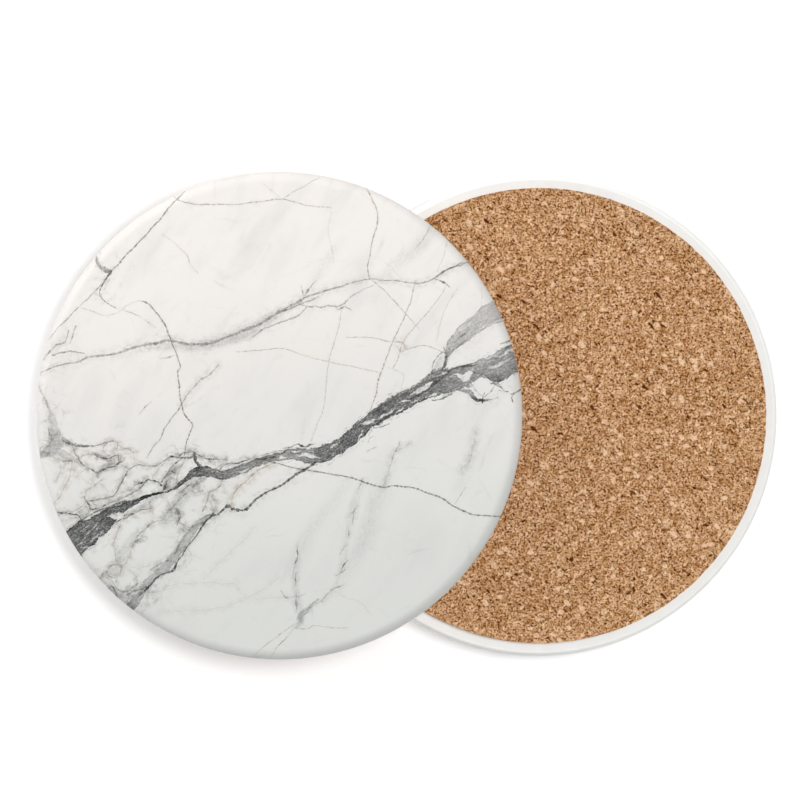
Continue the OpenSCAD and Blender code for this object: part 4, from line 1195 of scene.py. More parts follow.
def build_carrying_tree():
    sockets = [("Geometry", "Geometry")] + [(layer, "Object") for layer in LAYERS]
    sockets += [("Step", "Float"), ("Lift", "Float"), ("Material", "Material")]
    tree, given = new_tree("carried_veins", sockets)
    place = Wire(tree.nodes.new("GeometryNodeInputPosition").outputs[0])
    x, y, unused = place.parts()
    dark, broken, tint, half, slope = (
        kept(tree, name) for name in ("dark", "broken", "tint", "half_width", "slope"))
    face = given["Geometry"]
    for layer in LAYERS:
        drawn = put(tree, "GeometryNodeObjectInfo", {"Object": given[layer]})
        line = put(tree, "GeometryNodeMeshToCurve", {"Mesh": Wire(drawn.outputs["Geometry"])})
        smooth = put(tree, "GeometryNodeCurveSplineType", {"Curve": Wire(line.outputs[0])},
                     spline_type="CATMULL_ROM")
        fine = put(tree, "GeometryNodeResampleCurve", {"Curve": Wire(smooth.outputs[0])})
        fine.mode = "LENGTH"
        feed(fine.inputs["Length"], given["Step"])
        along = Wire(tree.nodes.new("GeometryNodeSplineParameter").outputs["Length"])
        way_x, way_y, unused = Wire(tree.nodes.new("GeometryNodeInputTangent").outputs[0]).parts()
        curve = store(Wire(fine.outputs[0]), "at", join(tree, x, y, half))
        curve = store(curve, "run", join(tree, way_x, way_y, along))
        curve = store(curve, "look", join(tree, dark, broken, tint))
        curve = store(curve, "more", join(tree, slope, 0.0))
        steps = put(tree, "GeometryNodeCurveToPoints", {"Curve": curve}, mode="EVALUATED")
        lift = (given["Lift"] * given["Lift"] - half * half).power(0.5)
        steps = move_to(Wire(steps.outputs["Points"]), join(tree, x, y, lift))
        nearest = put(tree, "GeometryNodeSampleNearest", {"Geometry": steps})
        feed(nearest.inputs["Sample Position"], join(tree, x, y))
        index = Wire(nearest.outputs["Index"])
        for part in PARTS:
            value = sample(steps, kept(tree, part, "FLOAT_VECTOR"), index)
            face = store(face, f"{layer}_{part}", value, "FACE")
    end_tree(tree, face, given["Material"])
    return tree


carrying_tree = build_carrying_tree()
print("carrying tree:", len(carrying_tree.nodes), "nodes")


# %% Lay the drawn lines out as edges
SPOT_HALO = 0.2


def with_widths(table):
    """The lines of a table. A point that gives no half width takes that of its row."""
    return [(dark, broken, tint, [(*point, half)[:3] for point in line])
            for dark, broken, tint, half, line in table.values()]


def spot_line(x, y, reach_x, reach_y, half, dark):
    """A spot as a vein of three points, which runs out to nothing at both ends."""
    points = [(x - reach_x, y - reach_y, 0), (x, y, half), (x + reach_x, y + reach_y, 0)]
    return dark, 0, SPOT_HALO, points


def draw_lines(name, table):
    """All lines of one layer as edges, with what is known of them kept on their points."""
    points, edges = [], []
    notes = {"half_width": [], "dark": [], "broken": [], "tint": [], "slope": []}
    for first, second, third, line in table:
        start = len(points)
        for number, point in enumerate(line):
            before, after = line[max(number - 1, 0)], line[min(number + 1, len(line) - 1)]
            length = math.hypot(after[0] - before[0], after[1] - before[1])
            notes["slope"].append((after[2] - before[2]) / length)
            points.append((point[0], point[1], 0))
            notes["half_width"].append(point[2])
            notes["dark"].append(point[3] if len(point) > 3 else first)
            notes["broken"].append(second)
            notes["tint"].append(third)
        edges += [(i, i + 1) for i in range(start, len(points) - 1)]
    mesh = bpy.data.meshes.new(name)
    mesh.from_pydata(points, edges, [])
    for label, values in notes.items():
        mesh.attributes.new(label, "FLOAT", "POINT").data.foreach_set("value", values)
    return add_object(name, mesh)


drawn = {
    "bands": draw_lines("bands", [(None, *values) for values in BANDS.values()]),
    "windows": draw_lines("windows", [(1, 0, 0, line) for line in WINDOWS]),
    "veins": draw_lines("veins", with_widths(VEINS) + [spot_line(*spot) for spot in SPOTS]),
    "hairs": draw_lines("hairs", with_widths(HAIRS)),
    "web": draw_lines("web", with_widths(WEB)),
}
print("points drawn:", {name: len(helper.data.vertices) for name, helper in drawn.items()})

# %% [markdown]
# Finishes as node groups
#
# Every finish of the coasters is one node group, which takes a point in millimetres and gives
# a colour, a roughness and a height for the bump. Colours are mixed as they look on paper and
# are turned into light values by one Gamma node at the end, because that is how a printer
# mixes ink.

# %% Noise, ramps and mixtures
def ramp(value, start, end, low=0.0, high=1.0):
    """Goes smoothly from low to high as value goes from start to end."""
    node = put(value.tree, "ShaderNodeMapRange", {
        "Value": value, "From Min": start, "From Max": end, "To Min": low, "To Max": high,
    }, interpolation_type="SMOOTHSTEP")
    return Wire(node.outputs["Result"])


def noise(point, period, detail=2.0, roughness=0.5, warp=0.0):
    """Smooth random values round zero, mostly from -1 to 1, on a scale of period millimetres."""
    node = put(point.tree, "ShaderNodeTexNoise", {
        "Vector": point, "Scale": 1 / period, "Detail": detail, "Roughness": roughness,
        "Distortion": warp,
    }, normalize=False)
    return Wire(node.outputs[0]) * 1.1


def blend(amount, first, second):
    """Mixes two colours, each a wire or a plain tuple."""
    node = put(amount.tree, "ShaderNodeMix", data_type="RGBA", clamp_factor=True)
    feed(node.inputs[0], amount)
    for number, colour in ((6, first), (7, second)):
        feed(node.inputs[number], colour if isinstance(colour, Wire) else (*colour, 1))
    return Wire(node.outputs[2])


# %% Open and close a finish
SHOWN_TO_LIGHT = 2.2
FINISH = (("Color", "Color"), ("Roughness", "Float"), ("Height", "Float"))


def new_group(name):
    """A shader group for a finish. Gives it and the point that it takes, in millimetres."""
    tree = bpy.data.node_groups.new(name, "ShaderNodeTree")
    tree.interface.new_socket("Point", in_out="INPUT", socket_type="NodeSocketVector")
    for label, kind in FINISH:
        tree.interface.new_socket(label, in_out="OUTPUT", socket_type="NodeSocket" + kind)
    return tree, Wire(tree.nodes.new("NodeGroupInput").outputs["Point"])


def end_group(tree, colour, roughness, height):
    """Closes a group: turns its shown colour into light values and links the outputs."""
    light = put(tree, "ShaderNodeGamma", {"Color": colour, "Gamma": SHOWN_TO_LIGHT})
    exits = tree.nodes.new("NodeGroupOutput").inputs
    feed(exits["Color"], Wire(light.outputs[0]))
    feed(exits["Roughness"], roughness)
    feed(exits["Height"], height)
    print(f"{tree.name}: {len(tree.nodes)} nodes")
    return tree


# %% [markdown]
# The white ground and its painted shade
#
# The white of the stone isn't even: soft clouds lie across it on a slant, and hardly visible
# joints divide it into blocks. Over it lies painted shade, as if lit from the upper left: the
# white is warm and light at the top of the print, greyer below and a little darker to the right.

# %% Cloud the white, paint shade on it and joint it
LIT_TOP_WHITE = (0.925, 0.906, 0.890)
SHADED_LOW_WHITE = (0.825, 0.830, 0.815)
CLOUD_GREY = (0.77, 0.77, 0.76)
CLOUD_LENGTH = 21
CLOUD_WIDTH = 7
CLOUD_INK = 0.32
FAINT_BROWN = (0.50, 0.46, 0.42)
JOINT_SIZES = ((19, 0.10), (9, 0.05))


def wander(point, period, reach):
    """A smooth random push across the face, by up to about reach millimetres."""
    other = point.vector("ADD", (31, 17, 0))
    return join(point.tree, noise(point, period, 3) * reach, noise(other, period, 3) * reach)


def nudged(face, *wobbles):
    """The face pushed about by wobbles, each of them a period and a reach."""
    moved = face
    for period, reach in wobbles:
        moved = moved.vector("ADD", wander(face, period, reach))
    return moved


def to_cell_edge(point, size):
    """Distance to the nearest wall in a packing of cells of about this size."""
    cells = put(point.tree, "ShaderNodeTexVoronoi", {"Vector": point, "Scale": 1 / size},
                feature="DISTANCE_TO_EDGE")
    return Wire(cells.outputs[0]) * size


def white_ground_with_painted_shade(face, mottle):
    """Painted shade: warm lit white above, greyer white below and to the right, with slanting clouds."""
    x, y, unused = face.parts()
    # Painted shade: from the shaded grey below and to the right, to the lit warm white above and to the
    # left.
    high = ramp(y - x * 0.18 + noise(face, 30) * 7, -46, 46)
    colour = blend(high, SHADED_LOW_WHITE, LIT_TOP_WHITE)
    up_slant = (x * 0.5 + y * 0.86) / CLOUD_LENGTH
    off_slant = (y * 0.5 - x * 0.86) / CLOUD_WIDTH
    drift = noise(join(face.tree, up_slant, off_slant), 1, 4, 0.55, 0.5)
    cloud = ramp(drift, -0.3, 1.3) * CLOUD_INK
    return blend(cloud + ramp(mottle, 0.2, 1.4) * 0.05, colour, CLOUD_GREY)


def faint_joints(face, colour):
    """A coarse and a fine net of joints, which come and go."""
    bent = nudged(face, (9, 1.0), (1.4, 0.10))
    for size, strength in JOINT_SIZES:
        slanted = bent.vector("MULTIPLY", (0.7, 1, 0))
        faint = ramp(to_cell_edge(slanted, size), 0.4, 0.0)
        faint = faint * ramp(noise(face, size * 0.4, 4, 0.6), -0.1, 1.0) * strength
        colour = blend(faint, colour, FAINT_BROWN)
    return colour


# %% [markdown]
# Reading a drawn line
#
# From what each small face keeps, the material works out the distance to the nearest line of
# a layer, and how far along it and across it a point is. Noise drawn out along the line then
# gives it its streaks. Past its last point a line goes on for a few steps, unless its width
# runs out there.

# %% Read a line
def read_lines(point, layer):
    """Distance to the nearest line of a layer, the way along and across it, and its look."""
    tree = point.tree
    parts = []
    for part in PARTS:
        node = put(tree, "ShaderNodeAttribute", attribute_name=f"{layer}_{part}")
        parts.append(Wire(node.outputs["Vector"]).parts())
    (at_x, at_y, half), (run_x, run_y, along), look, (slope, unused, unused) = parts
    x, y, unused = point.parts()
    ahead = (x - at_x) * run_x + (y - at_y) * run_y
    across = (y - at_y) * run_x - (x - at_x) * run_y
    past_end = (abs(ahead) - 4 * STEP).larger(0)
    distance = (across * across + past_end * past_end).power(0.5)
    half = (half + ahead.larger(-2 * STEP).smaller(2 * STEP) * slope).larger(0.02)
    return distance, across, along + ahead, half, look


def streaks(along, across, length, width, detail=3):
    """Noise drawn out along a vein: strands of about this length and width."""
    return noise(join(along.tree, along / length, across / width), 1, detail, 0.6)


# %% [markdown]
# The bands
#
# A band is crushed stone drawn out along the crack, so its edge is torn in streaks, its body
# is made of long and fine strands, and darker rims and pale specks show in it. Near a band
# the white is crazed, most of all at the left. The windows are cut last, since their white
# is the stone's own.

# %% Ink the bands
SLATE = (0.085, 0.09, 0.092)
WEB_GREY = (0.40, 0.395, 0.375)
CRAZE_SIZES = ((5.5, 1.0), (2.9, 0.7))
CRAZE_REACH = 8.0


def read_bands(face, grain):
    """Distance to a band's torn edge, the band's look, and its long and fine streaks."""
    rough_face = nudged(face, (6, 0.20), (1.2, 0.09))
    distance, across, along, half, (dark, ragged, soft) = read_lines(rough_face, "bands")
    long_streak = streaks(along, across, 3.2, 0.7)
    fine_streak = streaks(along, across, 1.3, 0.25, 2)
    edge = distance - half * (ragged * 0.22 * streaks(along, half, 2.2, 40) + 1)
    edge = edge - ragged * (fine_streak * 0.14 + long_streak * 0.14 + grain * 0.05)
    return edge, (dark, ragged, soft), (long_streak, fine_streak)


def craze_beside(face, colour, edge, look, mottle):
    """Fine cells in the white beside a band."""
    unused, ragged, unused = look
    x, y, unused = face.parts()
    reach = ramp(edge, CRAZE_REACH, 0.0)
    near_band = reach * reach * ragged
    turned = join(face.tree, x * 0.8 + y * 0.6, (y * 0.8 - x * 0.6) * 1.5)
    turned = turned.vector("ADD", wander(face, 4, 0.7)).vector("ADD", wander(face, 1.0, 0.16))
    crazed = 0
    for size, weight in CRAZE_SIZES:
        to_edge = to_cell_edge(turned, size)
        line = ramp(to_edge, 0.24, 0.0) * ramp(noise(face, 1.6, 1), -0.45, 0.4) * 0.75
        veil = ramp(to_edge, 0.9, 0.0) * ramp(mottle, -0.7, 1.0) * 0.30
        there = ramp(noise(face, size, 2), 0.6 - weight, 1.5 - weight)
        crazed = (line + veil) * there * weight + crazed
    at_left = ramp(x, 5.0, -20.0, 0.1, 0.4)
    return blend(crazed * near_band * at_left, colour, WEB_GREY)


def ink_bands(face, colour, edge, look, strands, mottle, grain):
    """Paints the bands. Gives the colour and how much ink there is."""
    dark, ragged, soft = look
    long_streak, fine_streak = strands
    core = ramp(edge, soft + 0.05, -soft - 0.05)
    texture = long_streak * 0.28 + fine_streak * 0.42 + grain * 0.46
    tone = dark * 0.73 + texture * (dark * 0.56 + 0.04)
    rim_line = ramp(abs(edge + 0.10), 0.26, 0.0) * ramp(long_streak + grain, -0.3, 0.6) * dark
    specks = ramp(grain + fine_streak * 0.7, 0.75, 1.1) * ramp(dark, 0.35, 0.6)
    ink = core * (tone + rim_line * 0.32) * (1 - specks * 0.6)
    fringe = ramp(edge, 1.1, -0.1) * ramp(fine_streak + grain * 0.3, 0.0, 1.0) * dark * 0.6
    ink = ink.larger(fringe * ragged)
    window_face = nudged(face, (1.2, 0.22))
    distance, unused, unused, half, (opening, *unused) = read_lines(window_face, "windows")
    window = ramp(distance - half + grain * 0.10 + fine_streak * 0.07, 0.12, -0.12) * opening
    ink = ink * (1 - window * ramp(mottle + grain * 0.4, 0.9, -0.5, 0.6, 0.92))
    return blend(ink.clamped(), colour, SLATE), ink


# %% [markdown]
# Veins and hairlines
#
# A vein is a thin dark core that swells, fades and breaks, with finer strands and specks
# beside it and a grey halo in the white. Noise that changes only along the vein makes it come
# and go. A hairline has only a broken core and a faint halo. The web is drawn by the same
# function as the hairlines, with a wider and stronger halo.

# %% Ink the veins and the hairlines
VEIN_GREY = (0.12, 0.12, 0.115)
HAIR_GREY = (0.16, 0.155, 0.145)
HAIR_BROWN = (0.47, 0.35, 0.22)


def dashes(along, half, length, broken):
    """How a thin vein comes and goes along its length: 1 on its dark parts, less between."""
    slow = streaks(along, half, length * 3, 9, 2)
    quick = streaks(along, half, length, 9, 2)
    slow = ramp(slow, broken * 2.2 - 1.5, broken * 2.2 - 0.7)
    return slow * ramp(quick, -0.5, 0.5, 0.3, 1.0)


def ink_veins(face, colour, mottle, grain):
    """Paints the veins with their strands, specks and halo."""
    vein_face = nudged(face, (4.5, 0.24), (0.9, 0.09))
    distance, across, along, half, (dark, broken, halo_ink) = read_lines(vein_face, "veins")
    width = half * ramp(streaks(along, half, 1.0, 9, 2), -0.7, 0.7, 0.35, 1.15)
    on = dashes(along, half, 1.1, broken)
    core = ramp(distance, width + 0.05, width * 0.3)
    strand = ramp(abs(streaks(along, across, 5, 0.8, 3)), 0.20, 0.0)
    strand = strand * ramp(distance, half * 4 + 0.4, half) * ramp(mottle, -0.5, 0.8)
    specks = ramp(grain + streaks(along, across, 0.8, 0.4, 2), 0.35, 0.8)
    specks = specks * ramp(distance, 0.6, 0.1)
    ink = core * (on * 0.52 + 0.26 + grain * 0.25) + strand * halo_ink * 0.6
    ink = (ink + specks * on * 0.16) * dark
    halo = ramp(distance, half * 4 + 0.9, 0.0) * halo_ink
    halo = halo * (ramp(mottle + grain * 0.4, -0.8, 0.9) * 0.28 + 0.04)
    colour = blend(halo.clamped(), colour, WEB_GREY)
    return blend(ink.clamped(), colour, VEIN_GREY)


def thin_line(face, colour, layer, halo_reach, halo_ink, mottle, grain):
    """Paints a layer of thin lines: a broken core and a soft halo."""
    distance, unused, along, half, (dark, broken, brown) = read_lines(face, layer)
    width = half * ramp(streaks(along, half, 0.8, 9, 2), -0.7, 0.7, 0.3, 1.0)
    on = dashes(along, half, 0.9, broken)
    ink = ramp(distance, width + 0.08, width - 0.07) * (on * 0.78 + 0.25 + grain * 0.15)
    halo = ramp(distance, halo_reach, 0.0) * ramp(mottle, -0.5, 1.0) * halo_ink
    brown = brown * (1 - on * 0.25)
    ink_colour = blend(brown * 0.85, HAIR_GREY, HAIR_BROWN)
    return blend((ink.larger(halo) * dark).clamped(), colour, ink_colour)


# %% [markdown]
# The whole print
#
# The layers go on one over the other: the white with its joints, the crazed cells and the
# web, the bands, the veins and, last, the hairlines. Each layer is pushed about by a wobble of
# its own, so that no line looks ruled. The print wraps round the shoulder and ends on the
# side, where the glaze is plain white.

# %% Put the print together
SIDE_WHITE = (0.985, 0.985, 0.975)
PRINT_END = -2.3
SIDE_START = -2.8
GLAZE_ROUGH = 0.49


def build_marble():
    tree, point = new_group("marble_print")
    x, y, depth = point.parts()
    face = join(tree, x, y)
    grain = noise(face, 0.42, 1, 0.6)
    mottle = noise(face, 1.3, 4, 0.65)

    colour = faint_joints(face, white_ground_with_painted_shade(face, mottle))
    edge, look, strands = read_bands(face, grain)
    colour = craze_beside(face, colour, edge, look, mottle)
    web_face = nudged(face, (2.5, 0.22), (0.8, 0.07))
    colour = thin_line(web_face, colour, "web", 1.5, 0.54, mottle * 0.6 + 0.1, grain)
    colour, band_ink = ink_bands(face, colour, edge, look, strands, mottle, grain)
    colour = ink_veins(face, colour, mottle, grain)
    hair_face = nudged(face, (3, 0.13), (0.8, 0.06))
    colour = thin_line(hair_face, colour, "hairs", 0.8, 0.12, mottle, grain)
    past_print = ramp(depth + mottle * 0.15, PRINT_END, SIDE_START)
    colour = blend(past_print, colour, SIDE_WHITE)

    roughness = noise(point, 2.5, 3) * 0.02 + band_ink * 0.04 + GLAZE_ROUGH
    return end_group(tree, colour, roughness, noise(point, 9, 2) * 0.02)


marble_print = build_marble()

# %% [markdown]
# Cells for the cork
#
# Agglomerated cork is ground bark pressed with a binder. Up close it is a packing of pale and
# tan granules a millimetre across. A Voronoi node packs cells in the same way, and also gives
# each cell random numbers of its own. Two helpers use them. One draws slivers: inside a
# coarse cell, the distance to its middle is stretched along a direction that the cell picks.
# The other draws fibres: noise that is stretched another way in each granule.

# %% Slivers and fibres
def cell_of(point, size):
    """Three random numbers of the cell that a point is in, and the way from its middle."""
    cells = put(point.tree, "ShaderNodeTexVoronoi", {"Vector": point, "Scale": 1 / size},
                feature="F1")
    away = point.vector("SUBTRACT", Wire(cells.outputs["Position"]))
    return Wire(cells.outputs["Color"]), away


def slivers(point, spacing, length, chance, seed, slim=0.9):
    """Elongated flecks: 1 inside, 0 outside. Every cell holds one at most, turned at random."""
    shifted = point.vector("ADD", (seed, seed * 0.7, seed * 0.3))
    random, away = cell_of(shifted, spacing)
    way = random.vector("SUBTRACT", (0.5, 0.5, 0.5)).vector("MULTIPLY", (1, 1, 0.2))
    way = way.vector("NORMALIZE")
    along = away.vector("DOT_PRODUCT", way, output=1)
    reach = away.vector("LENGTH", output=1)
    wide = (reach * reach - along * along * slim).larger(0).power(0.5)
    red, green, blue = random.parts()
    size = length * (green * 0.9 + 0.55) * 0.5
    there = ramp(red + blue * 0.37, 1.37 * chance, 1.37 * chance - 0.02)
    return ramp(wide / size, 1.0, 0.6) * there


def fibres(point, granule, period, seed):
    """Fine noise whose grain runs another way in each granule. Gives it and three randoms."""
    shifted = point.vector("ADD", (seed, seed * 0.6, seed * 0.2))
    random, away = cell_of(shifted, granule)
    way = random.vector("SUBTRACT", (0.5, 0.5, 0.5)).vector("NORMALIZE")
    along = away.vector("DOT_PRODUCT", way, output=1)
    drawn_out = shifted.vector("ADD", way.scaled(along * -0.5))
    return noise(drawn_out, period, 2, 0.6), random.parts()


# %% [markdown]
# The cork
#
# The colour of the cork comes mostly from its grain: fibres in two sizes of granule, a shade
# of its own for each granule, and darker seams where granules were pressed together. Over it
# lie pink granules, slivers of outer bark, which run any way round, and now and then a pale
# chip. The crevices between granules are painted dark in the bark's colour: partly their dark
# binder, and partly painted shade where the crevices lie in shadow. Bark is rougher than the
# granules, and a cut chip is smoother.

# %% Grow the cork
CORK_DARK = (0.43, 0.20, 0.0)
CORK_LIGHT = (0.95, 0.80, 0.65)
CORK_PINK = (0.92, 0.72, 0.60)
CORK_CREAM = (0.945, 0.805, 0.675)
BARK_AND_SHADE = (0.25, 0.09, 0.0)
CORK_ROUGH = 0.92
GRANULE = 0.95
SMALL_GRANULE = GRANULE * 0.6
CREVICE_SPACING = GRANULE * 0.72


def build_cork():
    tree, point = new_group("cork_granules")
    shift = noise(point, 0.7, 2)
    shift_y = noise(point.vector("ADD", (17, 5, 9)), 0.7, 2)
    bent = point.vector("ADD", join(tree, shift * 0.16, shift_y * 0.16, shift * 0.1))
    first, (red, green, blue) = fibres(bent, GRANULE, 0.55, 3)
    second, (small_red, small_green, unused) = fibres(bent, SMALL_GRANULE, 0.36, 29)
    broad = noise(point, 0.8, 2, 0.6)
    grain = first * 0.36 + second * 0.53 + broad * 0.12 + noise(point, 0.3, 1) * 0.16
    grain = grain + (red - 0.5) * 0.42 + (small_red - 0.5) * 0.50 + noise(point, 12, 2) * 0.05
    seams = ramp(abs(noise(bent, 0.75, 2, 0.6)), 0.18, 0.03) * ramp(broad + shift_y, 0.0, -0.4)
    grain = grain - seams * 0.45
    # Painted shade in the crevices between granules, with their dark binder.
    crevice_shade = ramp(to_cell_edge(bent, CREVICE_SPACING), 0.14, 0.04)
    crevice_shade = crevice_shade * ramp(noise(point, 0.45, 1), -0.05, 0.35)

    colour = blend(grain * 0.50 + 0.695, CORK_DARK, CORK_LIGHT)
    pink = ramp(green * 0.6 + small_green * 0.4, 0.72, 0.8) * 0.3
    colour = blend(pink, colour, CORK_PINK)
    bark = slivers(bent, 0.62, 0.30, 0.26, 11, 0.93)
    bark = bark.larger(slivers(bent, 1.3, 0.62, 0.22, 23, 0.95))
    # One dark colour for the bark slivers and for the painted shade in the crevices.
    colour = blend(bark.larger(crevice_shade * 0.85) * 0.79, colour, BARK_AND_SHADE)
    chips = slivers(bent, 1.6, 1.0, 0.31, 31, 0.75)
    colour = blend(chips * ramp(grain, -1.0, 0.2, 0.35, 0.85), colour, CORK_CREAM)

    roughness = bark * 0.06 - chips * 0.10 - (blue - 0.5) * 0.08 + CORK_ROUGH
    return end_group(tree, colour, roughness, grain * 0.05 - bark * 0.06)


cork_granules = build_cork()

# %% [markdown]
# The unglazed clay and the adhesive
#
# Under the cork the pressed clay is bare: matt, faintly mottled and speckled with pinholes,
# and a little smoother on its rounded foot. The foot is also painted whiter: partly a cleaner,
# fettled edge, and partly painted light that lifts the shade where the curve turns from the
# lamps. The adhesive film only shows as a thin tan line between the cork and the clay.

# %% Speckle the clay and tint the film
CLAY_WHITE = (0.945, 0.950, 0.945)
CLAY_RIM_WITH_PAINTED_LIGHT = (0.992, 0.992, 0.982)
CLAY_GREY = (0.80, 0.79, 0.765)
CLAY_ROUGH = 0.77
FILM_TAN = (0.78, 0.70, 0.58)
FILM_ROUGH = 0.55


def build_clay():
    tree, point = new_group("bare_clay")
    x, y, unused = point.parts()
    # The rounded foot is painted whiter: partly cleaner clay, partly painted light against the shade on
    # the curve.
    rim = ramp((x * x + y * y).power(0.5), body_foot_x - 0.05, body_foot_x + 0.12)
    specks = slivers(point, 2.2, 0.28, 0.35, 5, 0.3)
    mottle = ramp(noise(point, 3.5, 3), -0.9, 1.0)
    colour = blend(rim, CLAY_WHITE, CLAY_RIM_WITH_PAINTED_LIGHT)
    colour = blend(mottle * 0.08, colour, CLAY_GREY)
    colour = blend(specks * 0.35, colour, CLAY_GREY)
    height = noise(point, 0.35, 3) * 0.02 - specks * 0.08
    return end_group(tree, colour, CLAY_ROUGH + (mottle - 0.5) * 0.1 - rim * 0.1, height)


bare_clay = build_clay()


def build_film_colour():
    tree, point = new_group("film_tint")
    streaks = ramp(noise(point, 2.5, 3), -0.8, 0.8)
    colour = blend(streaks * 0.3, FILM_TAN, CORK_DARK)
    return end_group(tree, colour, FILM_ROUGH - streaks * 0.1, noise(point, 0.5) * 0.01)


film_tint = build_film_colour()

# %% [markdown]
# Materials
#
# Each material is a Principled shader fed by one of the groups. The groups want millimetres,
# and a Mapping node turns the piece's Object coordinates into them. For the print and the
# clay it also undoes the place of the coaster, so that the pattern stays where it belongs on
# the disc, however the coaster lies. How much a finish shines is the same all over it, so it
# is set on the shader's own socket.

# %% Make the materials
def surface(name, group, shine, place=None):
    """A material that shows a group's finish on a piece."""
    material = bpy.data.materials.new(name)
    material.use_nodes = True
    tree = material.node_tree
    shader = tree.nodes["Principled BSDF"]
    shader.inputs["Specular IOR Level"].default_value = shine
    spot = Wire(tree.nodes.new("ShaderNodeTexCoord").outputs["Object"])
    mapping = put(tree, "ShaderNodeMapping", {"Vector": spot}, vector_type="TEXTURE")
    if place:
        mapping.inputs["Location"].default_value = place.translation
        mapping.inputs["Rotation"].default_value = place.to_euler()
    mapping.inputs["Scale"].default_value = (1 / METRE,) * 3
    pattern = put(tree, "ShaderNodeGroup")
    pattern.node_tree = group
    feed(pattern.inputs["Point"], Wire(mapping.outputs[0]))
    feed(shader.inputs["Base Color"], Wire(pattern.outputs["Color"]))
    feed(shader.inputs["Roughness"], Wire(pattern.outputs["Roughness"]))
    bump = put(tree, "ShaderNodeBump", {
        "Height": Wire(pattern.outputs["Height"]), "Distance": 1 / METRE,
    })
    feed(shader.inputs["Normal"], Wire(bump.outputs[0]))
    return material


GLAZE_SHINE = 0.2
CORK_SHINE = 0.03
CLAY_SHINE = 0.15
FILM_SHINE = 0.25
prints = {
    name: surface("marble_glaze_" + name, marble_print, GLAZE_SHINE, place)
    for name, place in places.items()
}
cork = surface("bonded_cork", cork_granules, CORK_SHINE)
clays = {
    name: surface("bare_clay_" + name, bare_clay, CLAY_SHINE, place)
    for name, place in places.items()
}
film = surface("adhesive_film", film_tint, FILM_SHINE)
print("materials:", [material.name for material in bpy.data.materials])

# %% [markdown]
# The cork's relief
#
# A cork pad isn't a smooth disc with a picture of cork on it: granules stand a little higher
# or lower, and the punched rim is slightly ragged. A third tree presses the face in by up to
# a quarter of a millimetre, granule by granule, and draws the rim in a little. It only ever
# moves the surface inwards, so the pad stays inside the size that the CAD model gives it.

# %% Build the relief tree
def build_relief_tree():
    tree, given = new_tree("cork_relief", [
        ("Geometry", "Geometry"), ("Depth", "Float"), ("Ragged", "Float"), ("Rim", "Float"),
        ("Face height", "Float"), ("Back height", "Float"), ("Seed", "Float"),
        ("Material", "Material"),
    ])
    place = Wire(tree.nodes.new("GeometryNodeInputPosition").outputs[0])
    x, y, z = place.parts()
    seeded = join(tree, x + given["Seed"], y, z)
    grains = put(tree, "ShaderNodeTexVoronoi", {"Vector": seeded, "Scale": 1 / GRANULE},
                 feature="F1")
    level = Wire(grains.outputs["Color"]).parts()[0] * 0.6 + Wire(grains.outputs[0]) * 0.4
    press = (level * given["Depth"]).larger(0)
    on_face = ramp(z - given["Face height"], 0.06, 0.0)
    pull = (noise(seeded, 1.3, 2) * 0.5 + 0.5).clamped() * given["Ragged"]
    radius = (x * x + y * y).power(0.5)
    at_rim = ramp(radius, given["Rim"] - 0.5, given["Rim"] - 0.1)
    off_back = ramp(given["Back height"] - z, 0.0, 0.3)
    shrink = 1 - pull * at_rim * off_back / radius
    moved = move_to(given["Geometry"], join(tree, x * shrink, y * shrink, z + press * on_face))
    end_tree(tree, moved, given["Material"])
    return tree


relief_tree = build_relief_tree()
print("relief tree:", len(relief_tree.nodes), "nodes")

# %% [markdown]
# The eight pieces
#
# A lathe, and for some pieces a second tree after it, is all that a layer needs. The glaze
# gets the tree that carries the veins and the cork gets its relief. The clay and the tape
# are plain turned work. Both coasters are made by one loop, each in its own place.

# %% Turn all eight pieces
GLAZE_RINGS = 126
CORK_RINGS = 146
PLAIN_RINGS = 64
CORK_DEPTH = 0.22
CORK_RAGGED = 0.16
CORK_SEEDS = {"upper": 3.0, "lower": 57.0}


def make_layer(name, place, section, seen, rings, material, tree=None, values=None):
    """Turns one layer, runs a second tree on it if there is one, and puts it in place."""
    piece = add_object(name, bpy.data.meshes.new(name))
    helper = turn(piece, section, seen, rings, material)
    if tree:
        add_tree(piece, tree, {**values, "Material": material})
    finish_mesh(piece, place)
    bpy.data.objects.remove(helper)
    return piece


pieces = {}
for name, place in places.items():
    pieces[f"{name}_printed_glaze"] = make_layer(
        f"{name}_marble_glaze", place, glaze_section, glaze_seen, GLAZE_RINGS, prints[name],
        carrying_tree, {**drawn, "Step": STEP, "Lift": LIFT})
    pieces[f"{name}_ceramic_body"] = make_layer(
        f"{name}_clay_disc", place, body_section, body_seen, PLAIN_RINGS, clays[name])
    pieces[f"{name}_adhesive_film"] = make_layer(
        f"{name}_adhesive_tape", place, film_section, len(film_section), PLAIN_RINGS, film)
    pieces[f"{name}_cork_pad"] = make_layer(
        f"{name}_cork_disc", place, cork_section, len(cork_section), CORK_RINGS, cork,
        relief_tree, {
            "Depth": CORK_DEPTH, "Ragged": CORK_RAGGED, "Rim": cork_r,
            "Seed": CORK_SEEDS[name], "Face height": -cork_back, "Back height": -cork_front,
        })
for helper in drawn.values():
    bpy.data.objects.remove(helper)

# %% [markdown]
# Riding on the CAD bodies
#
# Each piece stands for one CAD node and moves with that node's body.

# %% Tie the pieces to the imported model
for node, piece in pieces.items():
    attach(piece, "upper_coaster" if node.startswith("upper") else "lower_coaster")
    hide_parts(node)
print("tied to the model:", len(pieces), "pieces")

